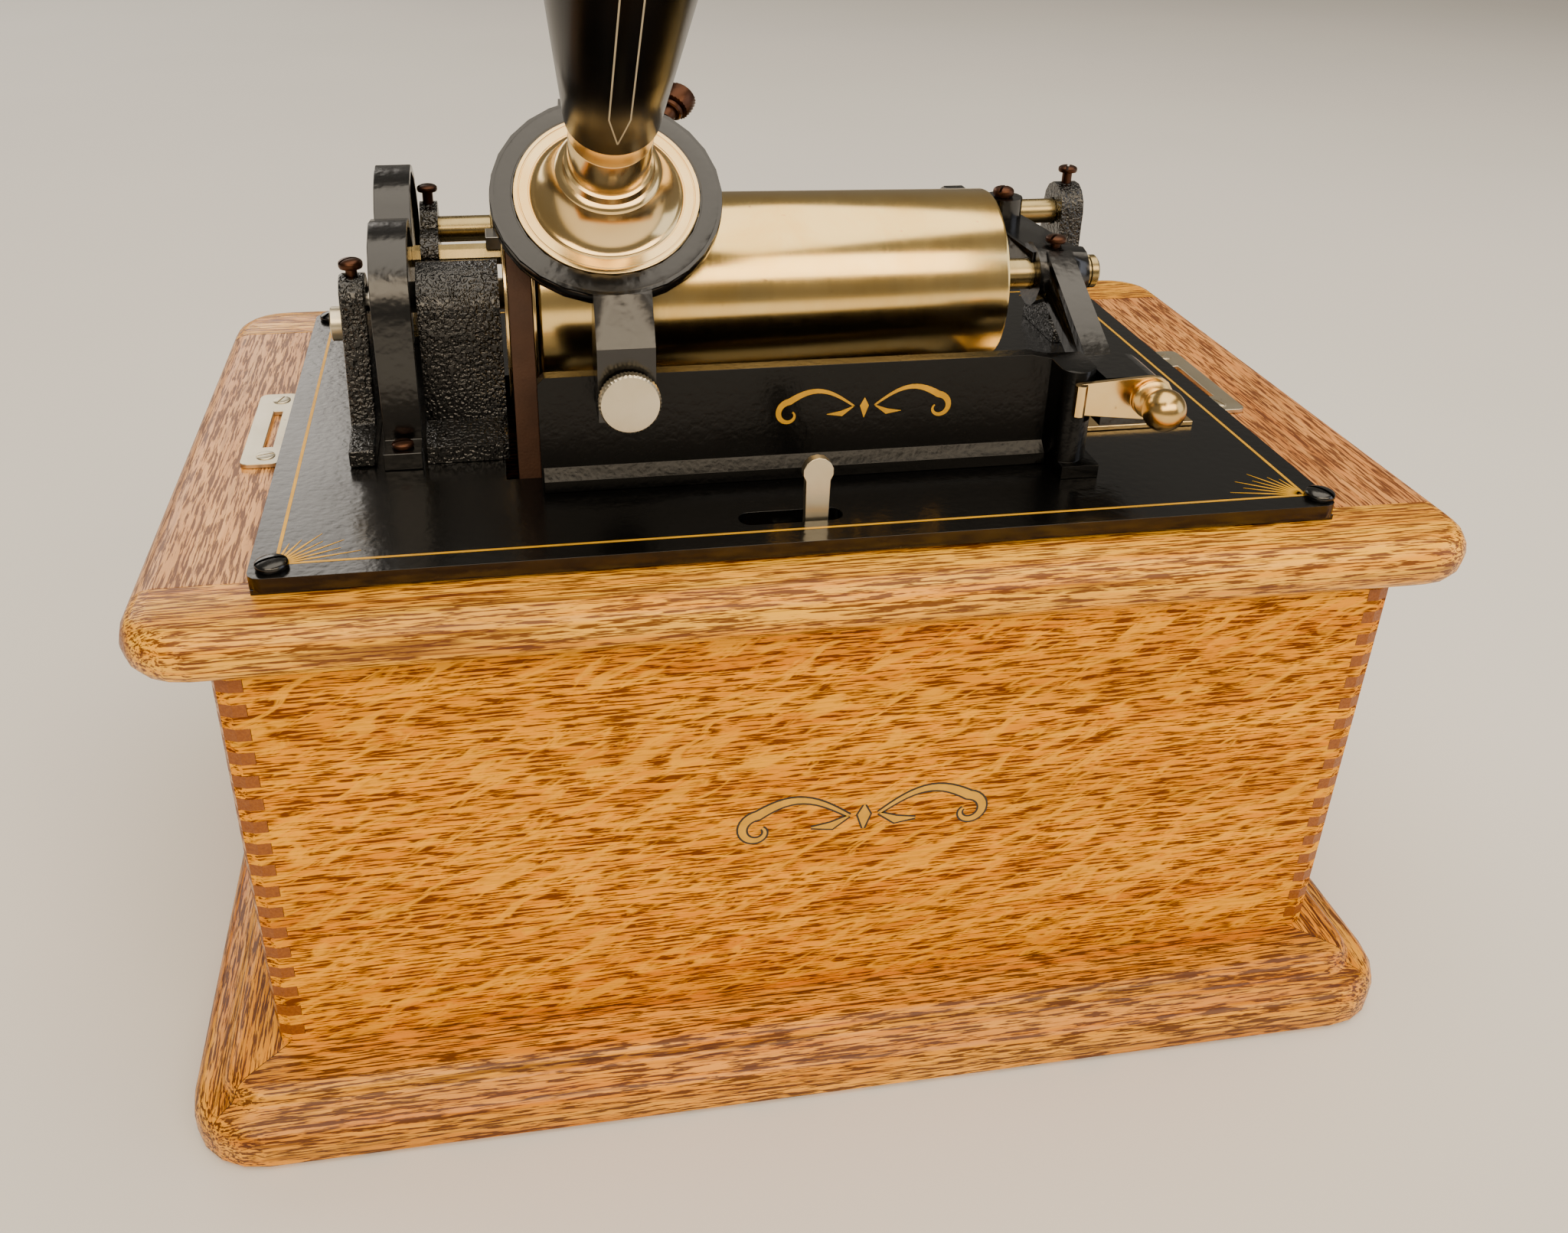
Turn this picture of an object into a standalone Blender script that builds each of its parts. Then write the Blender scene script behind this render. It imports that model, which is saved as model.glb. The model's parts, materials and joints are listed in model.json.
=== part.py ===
# Spring-wound cylinder phonograph: oak case, hinged top with the works, horn.
# Metres, +Z up, front towards -Y, origin under the middle of the base.
import math

import bmesh
import bpy
from mathutils import Matrix, Vector
from mathutils.geometry import tessellate_polygon

MM = 0.001
DEG = math.pi / 180.0

# Clearances shared by all pieces
FIT = 0.1 * MM
RUN = 0.3 * MM
OVERRUN = 2.0 * MM

# Oak case
CASE_WIDTH = 269.1 * MM
CASE_DEPTH = 174.9 * MM
CASE_HEIGHT = 108.0 * MM
HALF_WIDTH = CASE_WIDTH / 2.0
HALF_DEPTH = CASE_DEPTH / 2.0
LEDGE_LEFT = 19.95 * MM
LEDGE_RIGHT = 16.95 * MM
LEDGE_FRONT = 22.55 * MM
LEDGE_BACK = 19.35 * MM
BASE_LEFT = -HALF_WIDTH - LEDGE_LEFT
BASE_RIGHT = HALF_WIDTH + LEDGE_RIGHT
BASE_FRONT = -HALF_DEPTH - LEDGE_FRONT
BASE_BACK = HALF_DEPTH + LEDGE_BACK
BASE_HEIGHT = 15.6 * MM
BOARD = 6.9 * MM
CASE_CORNER = 4.0 * MM
FINGER_PITCH = 6.21 * MM
FINGER_COUNT = 17
EAVES_LEFT = 16.45 * MM
EAVES_RIGHT = 16.95 * MM
EAVES_FRONT = 8.15 * MM
EAVES_BACK = 14.95 * MM
TOP_LEFT = -HALF_WIDTH - EAVES_LEFT
TOP_RIGHT = HALF_WIDTH + EAVES_RIGHT
TOP_FRONT = -HALF_DEPTH - EAVES_FRONT
TOP_BACK = HALF_DEPTH + EAVES_BACK
TOP_THICK = 12.66 * MM
TOP_FRONT_RAIL = 21.2 * MM
TOP_BACK_RAIL = 23.7 * MM
TOP_LEFT_BOARD = 33.8 * MM
TOP_RIGHT_BOARD = 39.8 * MM

CASE_BOTTOM = BASE_HEIGHT + FIT
CASE_TOP = CASE_BOTTOM + CASE_HEIGHT
TOP_UNDER = CASE_TOP + FIT
TOP_FACE = TOP_UNDER + TOP_THICK

# Bedplate that carries the works
MARGIN_LEFT = 25.9 * MM
MARGIN_RIGHT = 32.3 * MM
MARGIN_FRONT = 14.9 * MM
MARGIN_BACK = 19.7 * MM
BED_LEFT = TOP_LEFT + MARGIN_LEFT
BED_RIGHT = TOP_RIGHT - MARGIN_RIGHT
BED_FRONT = TOP_FRONT + MARGIN_FRONT
BED_BACK = TOP_BACK - MARGIN_BACK
BED_THICK = 3.4 * MM
BED_PAD = 0.8 * MM
BED_UNDER = TOP_FACE + BED_PAD
BED_FACE = BED_UNDER + BED_THICK
SEAT = BED_FACE + FIT

# Axes of the works, all along X
MANDREL_Y = -5.6 * MM
MANDREL_RISE = 33.7 * MM
MANDREL_Z = BED_FACE + MANDREL_RISE
MANDREL_LEFT = -61.3 * MM
MANDREL_LENGTH = 115.3 * MM
MANDREL_BIG_RADIUS = 23.7 * MM
MANDREL_SMALL_RADIUS = 22.0 * MM
ARBOR_RADIUS = 3.8 * MM
FEED_Y = 30.0 * MM
FEED_RISE = 33.0 * MM
FEED_Z = BED_FACE + FEED_RISE
FEED_RADIUS = 3.0 * MM
ROD_Y = 42.0 * MM
ROD_RISE = 36.7 * MM
ROD_Z = BED_FACE + ROD_RISE
ROD_RADIUS = 3.5 * MM
MANDREL_RIGHT = MANDREL_LEFT + MANDREL_LENGTH

# Places along X of what stands on the bedplate
PEDESTAL_LEFT = -107.6 * MM
PEDESTAL_WIDTH = 6.2 * MM
COVER_LEFT = -99.4 * MM
COVER_WIDTH = 9.0 * MM
HOUSING_LEFT = -89.4 * MM
HOUSING_WIDTH = 19.5 * MM
PULLEY_LEFT = -68.8 * MM
PULLEY_WIDTH = 7.0 * MM
BACK_POST_WIDTH = 4.7 * MM
BACK_POST_LEFT = HOUSING_LEFT - FIT
FEED_POST_LEFT = 58.0 * MM
FEED_POST_WIDTH = 5.6 * MM
RIGHT_POST_LEFT = 91.2 * MM
RIGHT_POST_WIDTH = 6.6 * MM

# Belt drive
BELT_THICK = 1.3 * MM
BELT_WIDTH = 5.6 * MM
PULLEY_SEAT = 24.6 * MM
MOTOR_SEAT = 15.0 * MM
BELT_FRONT = MANDREL_Y - PULLEY_SEAT - FIT - BELT_THICK

# Eye that carries the reproducer, square to a line out of the mandrel's axis
EYE_X = -44.9 * MM
EYE_TILT = 49.0 * DEG
EYE_DISTANCE = 41.0 * MM
EYE_RADIUS = 25.8 * MM
EYE_BORE = 20.9 * MM
EYE_THICK = 4.0 * MM
EYE_OUT = Vector((0.0, -math.cos(EYE_TILT), math.sin(EYE_TILT)))
EYE_DOWN = Vector((0.0, -math.sin(EYE_TILT), -math.cos(EYE_TILT)))
EYE_CENTRE = Vector((EYE_X, MANDREL_Y, MANDREL_Z)) + EYE_DISTANCE * EYE_OUT

# Front rail, latch and gate
RAIL_FRONT = -47.2 * MM
RAIL_THICK = 3.8 * MM
RAIL_HEIGHT = 27.5 * MM
RAIL_LEFT = -62.9 * MM
RAIL_RIGHT = 53.2 * MM
POST_LEFT = 58.3 * MM
POST_WIDTH = 8.7 * MM
POST_FRONT = -57.0 * MM
GATE_PIVOT_X = 70.0 * MM
GATE_PIVOT_Y = 27.0 * MM
GATE_EAR_RISE = 30.3 * MM
GATE_EAR_BOTTOM = BED_FACE + GATE_EAR_RISE
GATE_EAR_HEIGHT = 9.7 * MM
GATE_BOSS_RISE = 5.4 * MM
GATE_BOSS_RADIUS = 5.4 * MM
GATE_LEFT = 67.0 * MM
GATE_WIDTH = 14.0 * MM
GATE_HUB_RADIUS = 8.3 * MM
LATCH_PIVOT_X = 79.0 * MM
LATCH_PIVOT_RISE = 19.9 * MM
LATCH_PIVOT_Z = BED_FACE + LATCH_PIVOT_RISE

# Motor under the bedplate: axes along X and the gear sizes
BARREL_ROOM = 51.45 * MM
BARREL_Y = HALF_DEPTH - BARREL_ROOM
BARREL_Z = 72.0 * MM
BARREL_RADIUS = 30.0 * MM
MOTOR_MODULE = 1.5 * MM
GREAT_TEETH = 44
SECOND_TEETH = 36
PINION_TEETH = 8
SPEED_MODULE = 1.25 * MM
THIRD_TEETH = 32
SPEED_PINION_TEETH = 8
SECOND_DIRECTION = 190.0 * DEG
SPEED_DIRECTION = 213.0 * DEG
MOTOR_AXIS_Z = 96.0 * MM
MOTOR_HALF_WIDTH = 50.0 * MM
MOTOR_PLATE = 4.0 * MM
ARBOR_THIN = 2.5 * MM

MANDREL_TEETH = 30
FEED_TEETH = 40
FEED_MODULE = 2.0 * math.hypot(FEED_Y - MANDREL_Y, FEED_Z - MANDREL_Z) / (MANDREL_TEETH + FEED_TEETH)

# Faces closer to one plane than this are joined
FLAT_ANGLE = 0.05 * DEG

# Turned pieces: sides of a large, a middling and a small round
FINE_SIDES = 24
ROUND_SIDES = 14
SMALL_SIDES = 8

MATERIALS = {
    "oak_case": ((0.50, 0.24, 0.06), 0.28, 0.0),
    "oak_side": ((0.36, 0.16, 0.04), 0.32, 0.0),
    "oak_top": ((0.56, 0.28, 0.12), 0.35, 0.0),
    "oak_base": ((0.25, 0.10, 0.03), 0.25, 0.0),
    "black_japan": ((0.012, 0.011, 0.010), 0.30, 0.0),
    "black_enamel": ((0.006, 0.006, 0.006), 0.12, 0.0),
    "nickel": ((0.72, 0.66, 0.55), 0.18, 1.0),
    "steel": ((0.45, 0.44, 0.42), 0.35, 1.0),
    "brass": ((0.68, 0.50, 0.22), 0.25, 1.0),
    "copper_screw": ((0.40, 0.24, 0.15), 0.40, 1.0),
    "leather": ((0.13, 0.06, 0.035), 0.70, 0.0),
}

AXES = {
    "X": lambda a, b, h: Vector((h, a, b)),
    "Y": lambda a, b, h: Vector((a, h, b)),
    "Z": lambda a, b, h: Vector((a, b, h)),
}
ALONG = {"X": Vector((1.0, 0.0, 0.0)), "Y": Vector((0.0, 1.0, 0.0)), "Z": Vector((0.0, 0.0, 1.0))}


def material(name):
    # One Principled material per finish, made on first use
    found = bpy.data.materials.get(name)
    if found:
        return found
    made = bpy.data.materials.new(name)
    made.use_nodes = True
    colour, roughness, metallic = MATERIALS[name]
    shader = made.node_tree.nodes["Principled BSDF"]
    shader.inputs["Base Color"].default_value = (*colour, 1.0)
    shader.inputs["Roughness"].default_value = roughness
    shader.inputs["Metallic"].default_value = metallic
    made.diffuse_color = (*colour, 1.0)
    return made


def prism(loops, axis, start, end):
    # Solid between two planes square to the axis; the first loop is the outline, the rest are holes
    bm = bmesh.new()
    put = AXES[axis]
    flat = [[Vector((a, b, 0.0)) for a, b in loop] for loop in loops]
    triangles = tessellate_polygon(flat)
    levels = []
    for height in (start, end):
        level = [[bm.verts.new(put(a, b, height)) for a, b in loop] for loop in loops]
        corners = [vert for loop in level for vert in loop]
        if len(loops) == 1:
            bm.faces.new(corners)
        else:
            for triangle in triangles:
                bm.faces.new([corners[index] for index in triangle])
        levels.append(level)
    for low, high in zip(*levels):
        for i in range(len(low)):
            j = (i + 1) % len(low)
            bm.faces.new((low[i], low[j], high[j], high[i]))
    bmesh.ops.recalc_face_normals(bm, faces=bm.faces)
    if len(loops) > 1:
        bmesh.ops.dissolve_limit(bm, angle_limit=FLAT_ANGLE, verts=bm.verts, edges=bm.edges)
    return bm


def box(low, high):
    # Rectangular solid between two corners
    outline = [(low[0], low[1]), (high[0], low[1]), (high[0], high[1]), (low[0], high[1])]
    return prism([outline], "Z", low[2], high[2])


def lathe(profile, sides, closed=False):
    # Turned solid about local Z from (along, radius) points
    bm = bmesh.new()
    rings = []
    for along, radius in profile:
        if radius == 0.0:
            rings.append([bm.verts.new((0.0, 0.0, along))])
            continue
        ring = []
        for k in range(sides):
            angle = math.tau * k / sides
            ring.append(bm.verts.new((radius * math.cos(angle), radius * math.sin(angle), along)))
        rings.append(ring)
    steps = list(zip(rings, rings[1:]))
    if closed:
        steps.append((rings[-1], rings[0]))
    for lower, upper in steps:
        for i in range(sides):
            j = (i + 1) % sides
            corners = []
            for ring, index in ((lower, i), (lower, j), (upper, j), (upper, i)):
                vert = ring[index % len(ring)]
                if vert not in corners:
                    corners.append(vert)
            if len(corners) > 2:
                bm.faces.new(corners)
    if not closed:
        for ring in (rings[0], rings[-1]):
            if len(ring) > 1:
                bm.faces.new(ring)
    bmesh.ops.recalc_face_normals(bm, faces=bm.faces)
    return bm


def aim(bm, origin, direction):
    # Turns local Z to a direction and moves the solid to an origin
    turn = Vector((0.0, 0.0, 1.0)).rotation_difference(direction).to_matrix().to_4x4()
    bmesh.ops.transform(bm, matrix=Matrix.Translation(origin) @ turn, verts=bm.verts)
    return bm


def turned(profile, sides, origin, direction, closed=False):
    return aim(lathe(profile, sides, closed), origin, direction)


def rod(radius, start, end, sides):
    # Plain round bar between two points
    run = end - start
    return turned([(0.0, radius), (run.length, radius)], sides, start, run)


def circle(centre, radius, sides, phase=0.0):
    # Points of a circle in an outline's plane
    points = []
    for k in range(sides):
        angle = phase + math.tau * k / sides
        points.append((centre[0] + radius * math.cos(angle), centre[1] + radius * math.sin(angle)))
    return points


def opening(centre, radius, sides):
    # Circle whose flats keep clear of a round of the given radius
    return circle(centre, radius / math.cos(math.pi / sides), sides)


def drill(radius, start, end, sides):
    # Bar that cuts a hole whose flats keep clear of the given radius
    return rod(radius / math.cos(math.pi / sides), start, end, sides)


def arc(centre, radius, start, end, steps):
    # Points from one angle to another, ends included
    points = []
    for k in range(steps + 1):
        angle = start + (end - start) * k / steps
        points.append((centre[0] + radius * math.cos(angle), centre[1] + radius * math.sin(angle)))
    return points


def rounded(low, high, radius, steps):
    # Rectangle with round corners, anticlockwise
    points = []
    corners = (
        (high[0] - radius, high[1] - radius, 0.0),
        (low[0] + radius, high[1] - radius, 0.25),
        (low[0] + radius, low[1] + radius, 0.5),
        (high[0] - radius, low[1] + radius, 0.75),
    )
    for a, b, turn in corners:
        points += arc((a, b), radius, turn * math.tau, (turn + 0.25) * math.tau, steps)
    return points


def stack(levels, low, high, radius, steps):
    # Moulded block: one rounded rectangle per (height, inset) level
    bm = bmesh.new()
    rings = []
    for height, inset in levels:
        loop = rounded((low[0] + inset, low[1] + inset), (high[0] - inset, high[1] - inset),
                       radius - inset, steps)
        rings.append([bm.verts.new((a, b, height)) for a, b in loop])
    for lower, upper in zip(rings, rings[1:]):
        for i in range(len(lower)):
            j = (i + 1) % len(lower)
            bm.faces.new((lower[i], lower[j], upper[j], upper[i]))
    bm.faces.new(rings[0])
    bm.faces.new(rings[-1])
    bmesh.ops.recalc_face_normals(bm, faces=bm.faces)
    return bm


def merged(*pieces):
    # One mesh that holds several separate solids, for use as a cutter
    result = bmesh.new()
    for bm in pieces:
        mesh = bpy.data.meshes.new("merge")
        bm.to_mesh(mesh)
        bm.free()
        result.from_mesh(mesh)
        bpy.data.meshes.remove(mesh)
    return result


def make(name, bm, finish, origin=None, parent=None, smooth=None):
    # Object with its origin at a world point, under a parent that isn't turned
    origin = Vector(origin) if origin is not None else Vector()
    bmesh.ops.translate(bm, vec=-origin, verts=bm.verts)
    mesh = bpy.data.meshes.new(name)
    bm.to_mesh(mesh)
    bm.free()
    obj = bpy.data.objects.new(name, mesh)
    bpy.context.scene.collection.objects.link(obj)
    obj["world"] = list(origin)
    base = Vector()
    if parent is not None:
        obj.parent = parent
        base = Vector(parent["world"])
    obj.location = origin - base
    mesh.materials.append(material(finish))
    if smooth is not None:
        mesh.shade_smooth()
        mesh.set_sharp_from_angle(angle=smooth)
    return obj


def pivot(name, origin, parent=None):
    # Empty on a joint's axis
    empty = bpy.data.objects.new(name, None)
    bpy.context.scene.collection.objects.link(empty)
    empty["world"] = list(origin)
    base = Vector(parent["world"]) if parent is not None else Vector()
    empty.parent = parent
    empty.location = Vector(origin) - base
    return empty


def shape_with(target, bm, operation, checks_self=False):
    # Boolean with a hidden helper solid in world space
    mesh = bpy.data.meshes.new(target.name + "_helper")
    bm.to_mesh(mesh)
    bm.free()
    helper = bpy.data.objects.new(target.name + "_" + operation.lower() + "_helper", mesh)
    bpy.context.scene.collection.objects.link(helper)
    helper.hide_render = True
    helper.display_type = "WIRE"
    modifier = target.modifiers.new(operation.lower(), "BOOLEAN")
    modifier.operation = operation
    modifier.solver = "EXACT"
    modifier.use_self = checks_self
    modifier.object = helper
    return target


def screw_solid(origin, direction, head_radius, head_height, stem_radius, stem_length):
    # Domed screw with its head above the origin and its stem below
    dome_share = 0.7
    profile = [
        (-stem_length, 0.0),
        (-stem_length, stem_radius),
        (0.0, stem_radius),
        (0.0, head_radius),
        (head_height * (1.0 - dome_share), head_radius),
        (head_height * 0.8, head_radius * 0.62),
        (head_height, 0.0),
    ]
    return turned(profile, SMALL_SIDES, origin, direction)


def gear_outline(centre, module, teeth, phase):
    # Straight-flanked teeth with play at the pitch circle
    addendum_share, dedendum_share = 0.75, 1.05
    root_share, tip_share = 0.30, 0.13
    pitch = module * teeth / 2.0
    step = math.tau / teeth
    points = []
    for k in range(teeth):
        middle = phase + k * step
        for share, radius in (
            (-root_share, pitch - dedendum_share * module),
            (-tip_share, pitch + addendum_share * module),
            (tip_share, pitch + addendum_share * module),
            (root_share, pitch - dedendum_share * module),
        ):
            angle = middle + share * step
            points.append((centre[0] + radius * math.cos(angle), centre[1] + radius * math.sin(angle)))
    return points


def direction_of(start, end):
    return math.atan2(end[1] - start[1], end[0] - start[0])


for old in list(bpy.data.objects):
    bpy.data.objects.remove(old)

MANDREL = (MANDREL_Y, MANDREL_Z)
FEED = (FEED_Y, FEED_Z)
ROD = (ROD_Y, ROD_Z)
BARREL = (BARREL_Y, BARREL_Z)
PINION_RADIUS = MOTOR_MODULE * PINION_TEETH / 2.0
GREAT_RADIUS = MOTOR_MODULE * GREAT_TEETH / 2.0
SECOND_RADIUS = MOTOR_MODULE * SECOND_TEETH / 2.0
THIRD_RADIUS = SPEED_MODULE * THIRD_TEETH / 2.0
SPEED_PINION_RADIUS = SPEED_MODULE * SPEED_PINION_TEETH / 2.0
SECOND_REACH = GREAT_RADIUS + PINION_RADIUS
SECOND = (BARREL_Y + SECOND_REACH * math.cos(SECOND_DIRECTION),
          BARREL_Z + SECOND_REACH * math.sin(SECOND_DIRECTION))
DRIVE_Y = BELT_FRONT + BELT_THICK + FIT + MOTOR_SEAT
DRIVE_REACH = SECOND_RADIUS + PINION_RADIUS
DRIVE = (DRIVE_Y, SECOND[1] + math.sqrt(DRIVE_REACH ** 2 - (DRIVE_Y - SECOND[0]) ** 2))
SPEED_REACH = THIRD_RADIUS + SPEED_PINION_RADIUS
SPEED = (DRIVE[0] + SPEED_REACH * math.cos(SPEED_DIRECTION),
         DRIVE[1] + SPEED_REACH * math.sin(SPEED_DIRECTION))


# Cabinet: moulded base, bottom board and four finger-jointed boards

def build_base():
    corner = 19.0 * MM
    # Heights and insets of the moulding as shares of its height and ledge
    ledge = BASE_RIGHT - HALF_WIDTH
    moulding_shares = (
        (0.0, 0.07), (0.07, 0.0), (0.38, 0.0), (0.52, 0.03), (0.63, 0.10), (0.69, 0.19),
        (0.73, 0.40), (0.79, 0.46), (0.90, 0.50), (0.97, 0.57), (1.0, 0.68),
    )
    levels = [(z * BASE_HEIGHT, inset * ledge) for z, inset in moulding_shares]
    low, high = Vector((BASE_LEFT, BASE_FRONT)), Vector((BASE_RIGHT, BASE_BACK))
    base = make("base_moulding", stack(levels, low, high, corner, 5), "oak_base", smooth=35.0 * DEG)
    inner = Vector((HALF_WIDTH - BOARD, HALF_DEPTH - BOARD))
    shape_with(base, box((-inner.x, -inner.y, -OVERRUN), (inner.x, inner.y, BASE_HEIGHT + OVERRUN)),
               "DIFFERENCE")
    thick = 8.0 * MM
    make("bottom_board", box((-inner.x + FIT, -inner.y + FIT, 0.0), (inner.x - FIT, inner.y - FIT, thick)),
         "oak_side")


def comb(half, low, high, depth, play):
    # Outline of a board whose two upright edges carry notches for the neighbours' fingers
    finger = FINGER_PITCH / 4.0
    first = low + (high - low - FINGER_PITCH * FINGER_COUNT) / 2.0 + FINGER_PITCH / 2.0
    right = [(half, low)]
    for k in range(FINGER_COUNT):
        centre = first + k * FINGER_PITCH
        right += [
            (half, centre - finger - play), (half - depth, centre - finger - play),
            (half - depth, centre + finger + play), (half, centre + finger + play),
        ]
    right.append((half, high))
    return right + [(-a, b) for a, b in reversed(right)]


def tenons(half, low, high, depth):
    # Outline of a board whose two upright edges carry fingers
    finger = FINGER_PITCH / 4.0
    first = low + (high - low - FINGER_PITCH * FINGER_COUNT) / 2.0 + FINGER_PITCH / 2.0
    body = half - depth
    right = [(body, low)]
    for k in range(FINGER_COUNT):
        centre = first + k * FINGER_PITCH
        right += [(body, centre - finger), (half, centre - finger), (half, centre + finger),
                  (body, centre + finger)]
    right.append((body, high))
    return right + [(-a, b) for a, b in reversed(right)]


WIND_HOLE_RADIUS = 9.0 * MM


def build_case():
    half_width, half_depth = HALF_WIDTH, HALF_DEPTH
    proud = 1.0 * MM
    envelope = rounded((-half_width, -half_depth), (half_width, half_depth), CASE_CORNER, 2)
    long_comb = comb(half_width + proud, CASE_BOTTOM, CASE_TOP, BOARD + proud + FIT, FIT / 2.0)
    side_tenons = tenons(half_depth + proud, CASE_BOTTOM, CASE_TOP, BOARD + proud + FIT)
    hole = opening(BARREL, WIND_HOLE_RADIUS, ROUND_SIDES)
    boards = (
        ("case_front", "oak_case", [long_comb], "Y", -half_depth - proud, -half_depth + BOARD),
        ("case_back", "oak_case", [long_comb], "Y", half_depth - BOARD, half_depth + proud),
        ("case_left", "oak_side", [side_tenons], "X", -half_width - proud, -half_width + BOARD),
        ("case_right", "oak_side", [side_tenons, hole], "X", half_width - BOARD, half_width + proud),
    )
    for name, finish, loops, axis, start, end in boards:
        board = make(name, prism(loops, axis, start, end), finish)
        shape_with(board, prism([envelope], "Z", CASE_BOTTOM - OVERRUN, CASE_TOP + OVERRUN), "INTERSECT",
                   True)
    flange, rim, wall = 13.0 * MM, 1.6 * MM, 1.6 * MM
    outer, bore = WIND_HOLE_RADIUS - FIT, WIND_HOLE_RADIUS - FIT - wall
    bush = [(-BOARD, bore), (-BOARD, outer), (FIT, outer), (FIT, flange), (rim * 0.6, flange),
            (rim, flange - wall),
            (rim, bore)]
    make("crank_escutcheon", turned(bush, ROUND_SIDES, Vector((half_width, *BARREL)), ALONG["X"],
                                    closed=True), "nickel",
         smooth=30.0 * DEG)


# Butt hinges at the back: the top tilts about their pins
HINGE_RADIUS = 2.6 * MM
HINGE_PIN = 1.3 * MM
HINGE_Y = HALF_DEPTH + FIT + HINGE_RADIUS
HINGE_Z = TOP_UNDER - FIT - HINGE_RADIUS
HINGE_PLACE_SHARES = (-0.3, 0.3)
HINGE_HALF = 20.0 * MM
HINGE_KNUCKLE = 6.0 * MM
HINGE_LEAF = 1.2 * MM
HINGE_LEAF_LENGTH = 22.0 * MM


def leaf_outline(length, hollow, upper):
    # Knuckle ring with its leaf; the upper leaf is the lower one turned back under the top
    drop = math.acos((HINGE_LEAF - HINGE_RADIUS) / HINGE_RADIUS)
    points = arc((0.0, 0.0), HINGE_RADIUS, math.pi, -drop, 7)
    points += [(HINGE_LEAF - HINGE_RADIUS, -length), (-HINGE_RADIUS, -length)]
    loops = [points]
    if hollow:
        loops.append(opening((0.0, 0.0), HINGE_PIN + FIT, SMALL_SIDES))
    if upper:
        loops = [[(-b, -a) for a, b in loop] for loop in loops]
    return [[(HINGE_Y + a, HINGE_Z + b) for a, b in loop] for loop in loops]


def build_hinges(top):
    for share, side in zip(HINGE_PLACE_SHARES, ("left", "right")):
        middle = share * CASE_WIDTH
        lower = prism(leaf_outline(HINGE_LEAF_LENGTH, True, False), "X", middle - HINGE_KNUCKLE,
                      middle + HINGE_KNUCKLE)
        make("case_hinge_" + side, lower, "brass")
        gap = RUN
        near = middle - HINGE_HALF
        far = middle + HINGE_HALF
        reach = 11.0 * MM
        pin = rod(HINGE_PIN, Vector((near, HINGE_Y, HINGE_Z)), Vector((far, HINGE_Y, HINGE_Z)), SMALL_SIDES)
        leaf = make("top_hinge_" + side, pin, "brass", origin=(middle, HINGE_Y, HINGE_Z), parent=top)
        for start, end in ((near + gap, middle - HINGE_KNUCKLE - gap),
                           (middle + HINGE_KNUCKLE + gap, far - gap)):
            shape_with(leaf, prism(leaf_outline(reach, False, True), "X", start, end), "UNION")
        low = (middle - HINGE_KNUCKLE - gap * 2.0, HINGE_Y + HINGE_RADIUS + gap,
               HINGE_Z + HINGE_RADIUS - HINGE_LEAF)
        high = (middle + HINGE_KNUCKLE + gap * 2.0, HINGE_Y + reach, HINGE_Z + HINGE_RADIUS)
        shape_with(leaf, box(low, high), "UNION")


# Top frame: four boards with a nosed edge round the opening for the motor

def build_top(top):
    near, far = Vector((TOP_LEFT, TOP_FRONT)), Vector((TOP_RIGHT, TOP_BACK))
    corner = 15.0 * MM
    nose_share = 0.46
    nose = TOP_THICK * nose_share
    levels = []
    for k in range(5):
        angle = math.pi / 2.0 * k / 4.0
        levels.append((TOP_UNDER + nose * (1.0 - math.cos(angle)), nose * (1.0 - math.sin(angle))))
    levels += [(TOP_UNDER + TOP_FACE - z, inset) for z, inset in reversed(levels)]
    proud = 3.0 * MM
    front = TOP_FRONT + TOP_FRONT_RAIL
    back = TOP_BACK - TOP_BACK_RAIL
    left = TOP_LEFT + TOP_LEFT_BOARD
    right = TOP_RIGHT - TOP_RIGHT_BOARD
    low, high = TOP_UNDER - proud, TOP_FACE + proud
    west, east, south, north = TOP_LEFT - proud, TOP_RIGHT + proud, TOP_FRONT - proud, TOP_BACK + proud
    boards = (
        ("top_front_rail", (west, south, low), (east, front, high)),
        ("top_back_rail", (west, back, low), (east, north, high)),
        ("top_left_board", (west, front + FIT, low), (left, back - FIT, high)),
        ("top_right_board", (right, front + FIT, low), (east, back - FIT, high)),
    )
    for name, start, end in boards:
        board = make(name, box(start, end), "oak_top", parent=top)
        shape_with(board, stack(levels, near, far, corner, 5), "INTERSECT")


# Slots in the bedplate
BELT_SLOT_LEFT = -71.0 * MM
BELT_SLOT_RIGHT = -59.6 * MM
BELT_SLOT_FRONT = -41.0 * MM
BELT_SLOT_BACK = 25.0 * MM
LEVER_SLOT_LEFT = -20.4 * MM
LEVER_SLOT_RIGHT = 3.4 * MM
LEVER_SLOT_INSET = 9.2 * MM
LEVER_SLOT_DEPTH = 6.1 * MM
LEVER_SLOT_FRONT = BED_FRONT + LEVER_SLOT_INSET
LEVER_SLOT_BACK = LEVER_SLOT_FRONT + LEVER_SLOT_DEPTH


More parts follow.
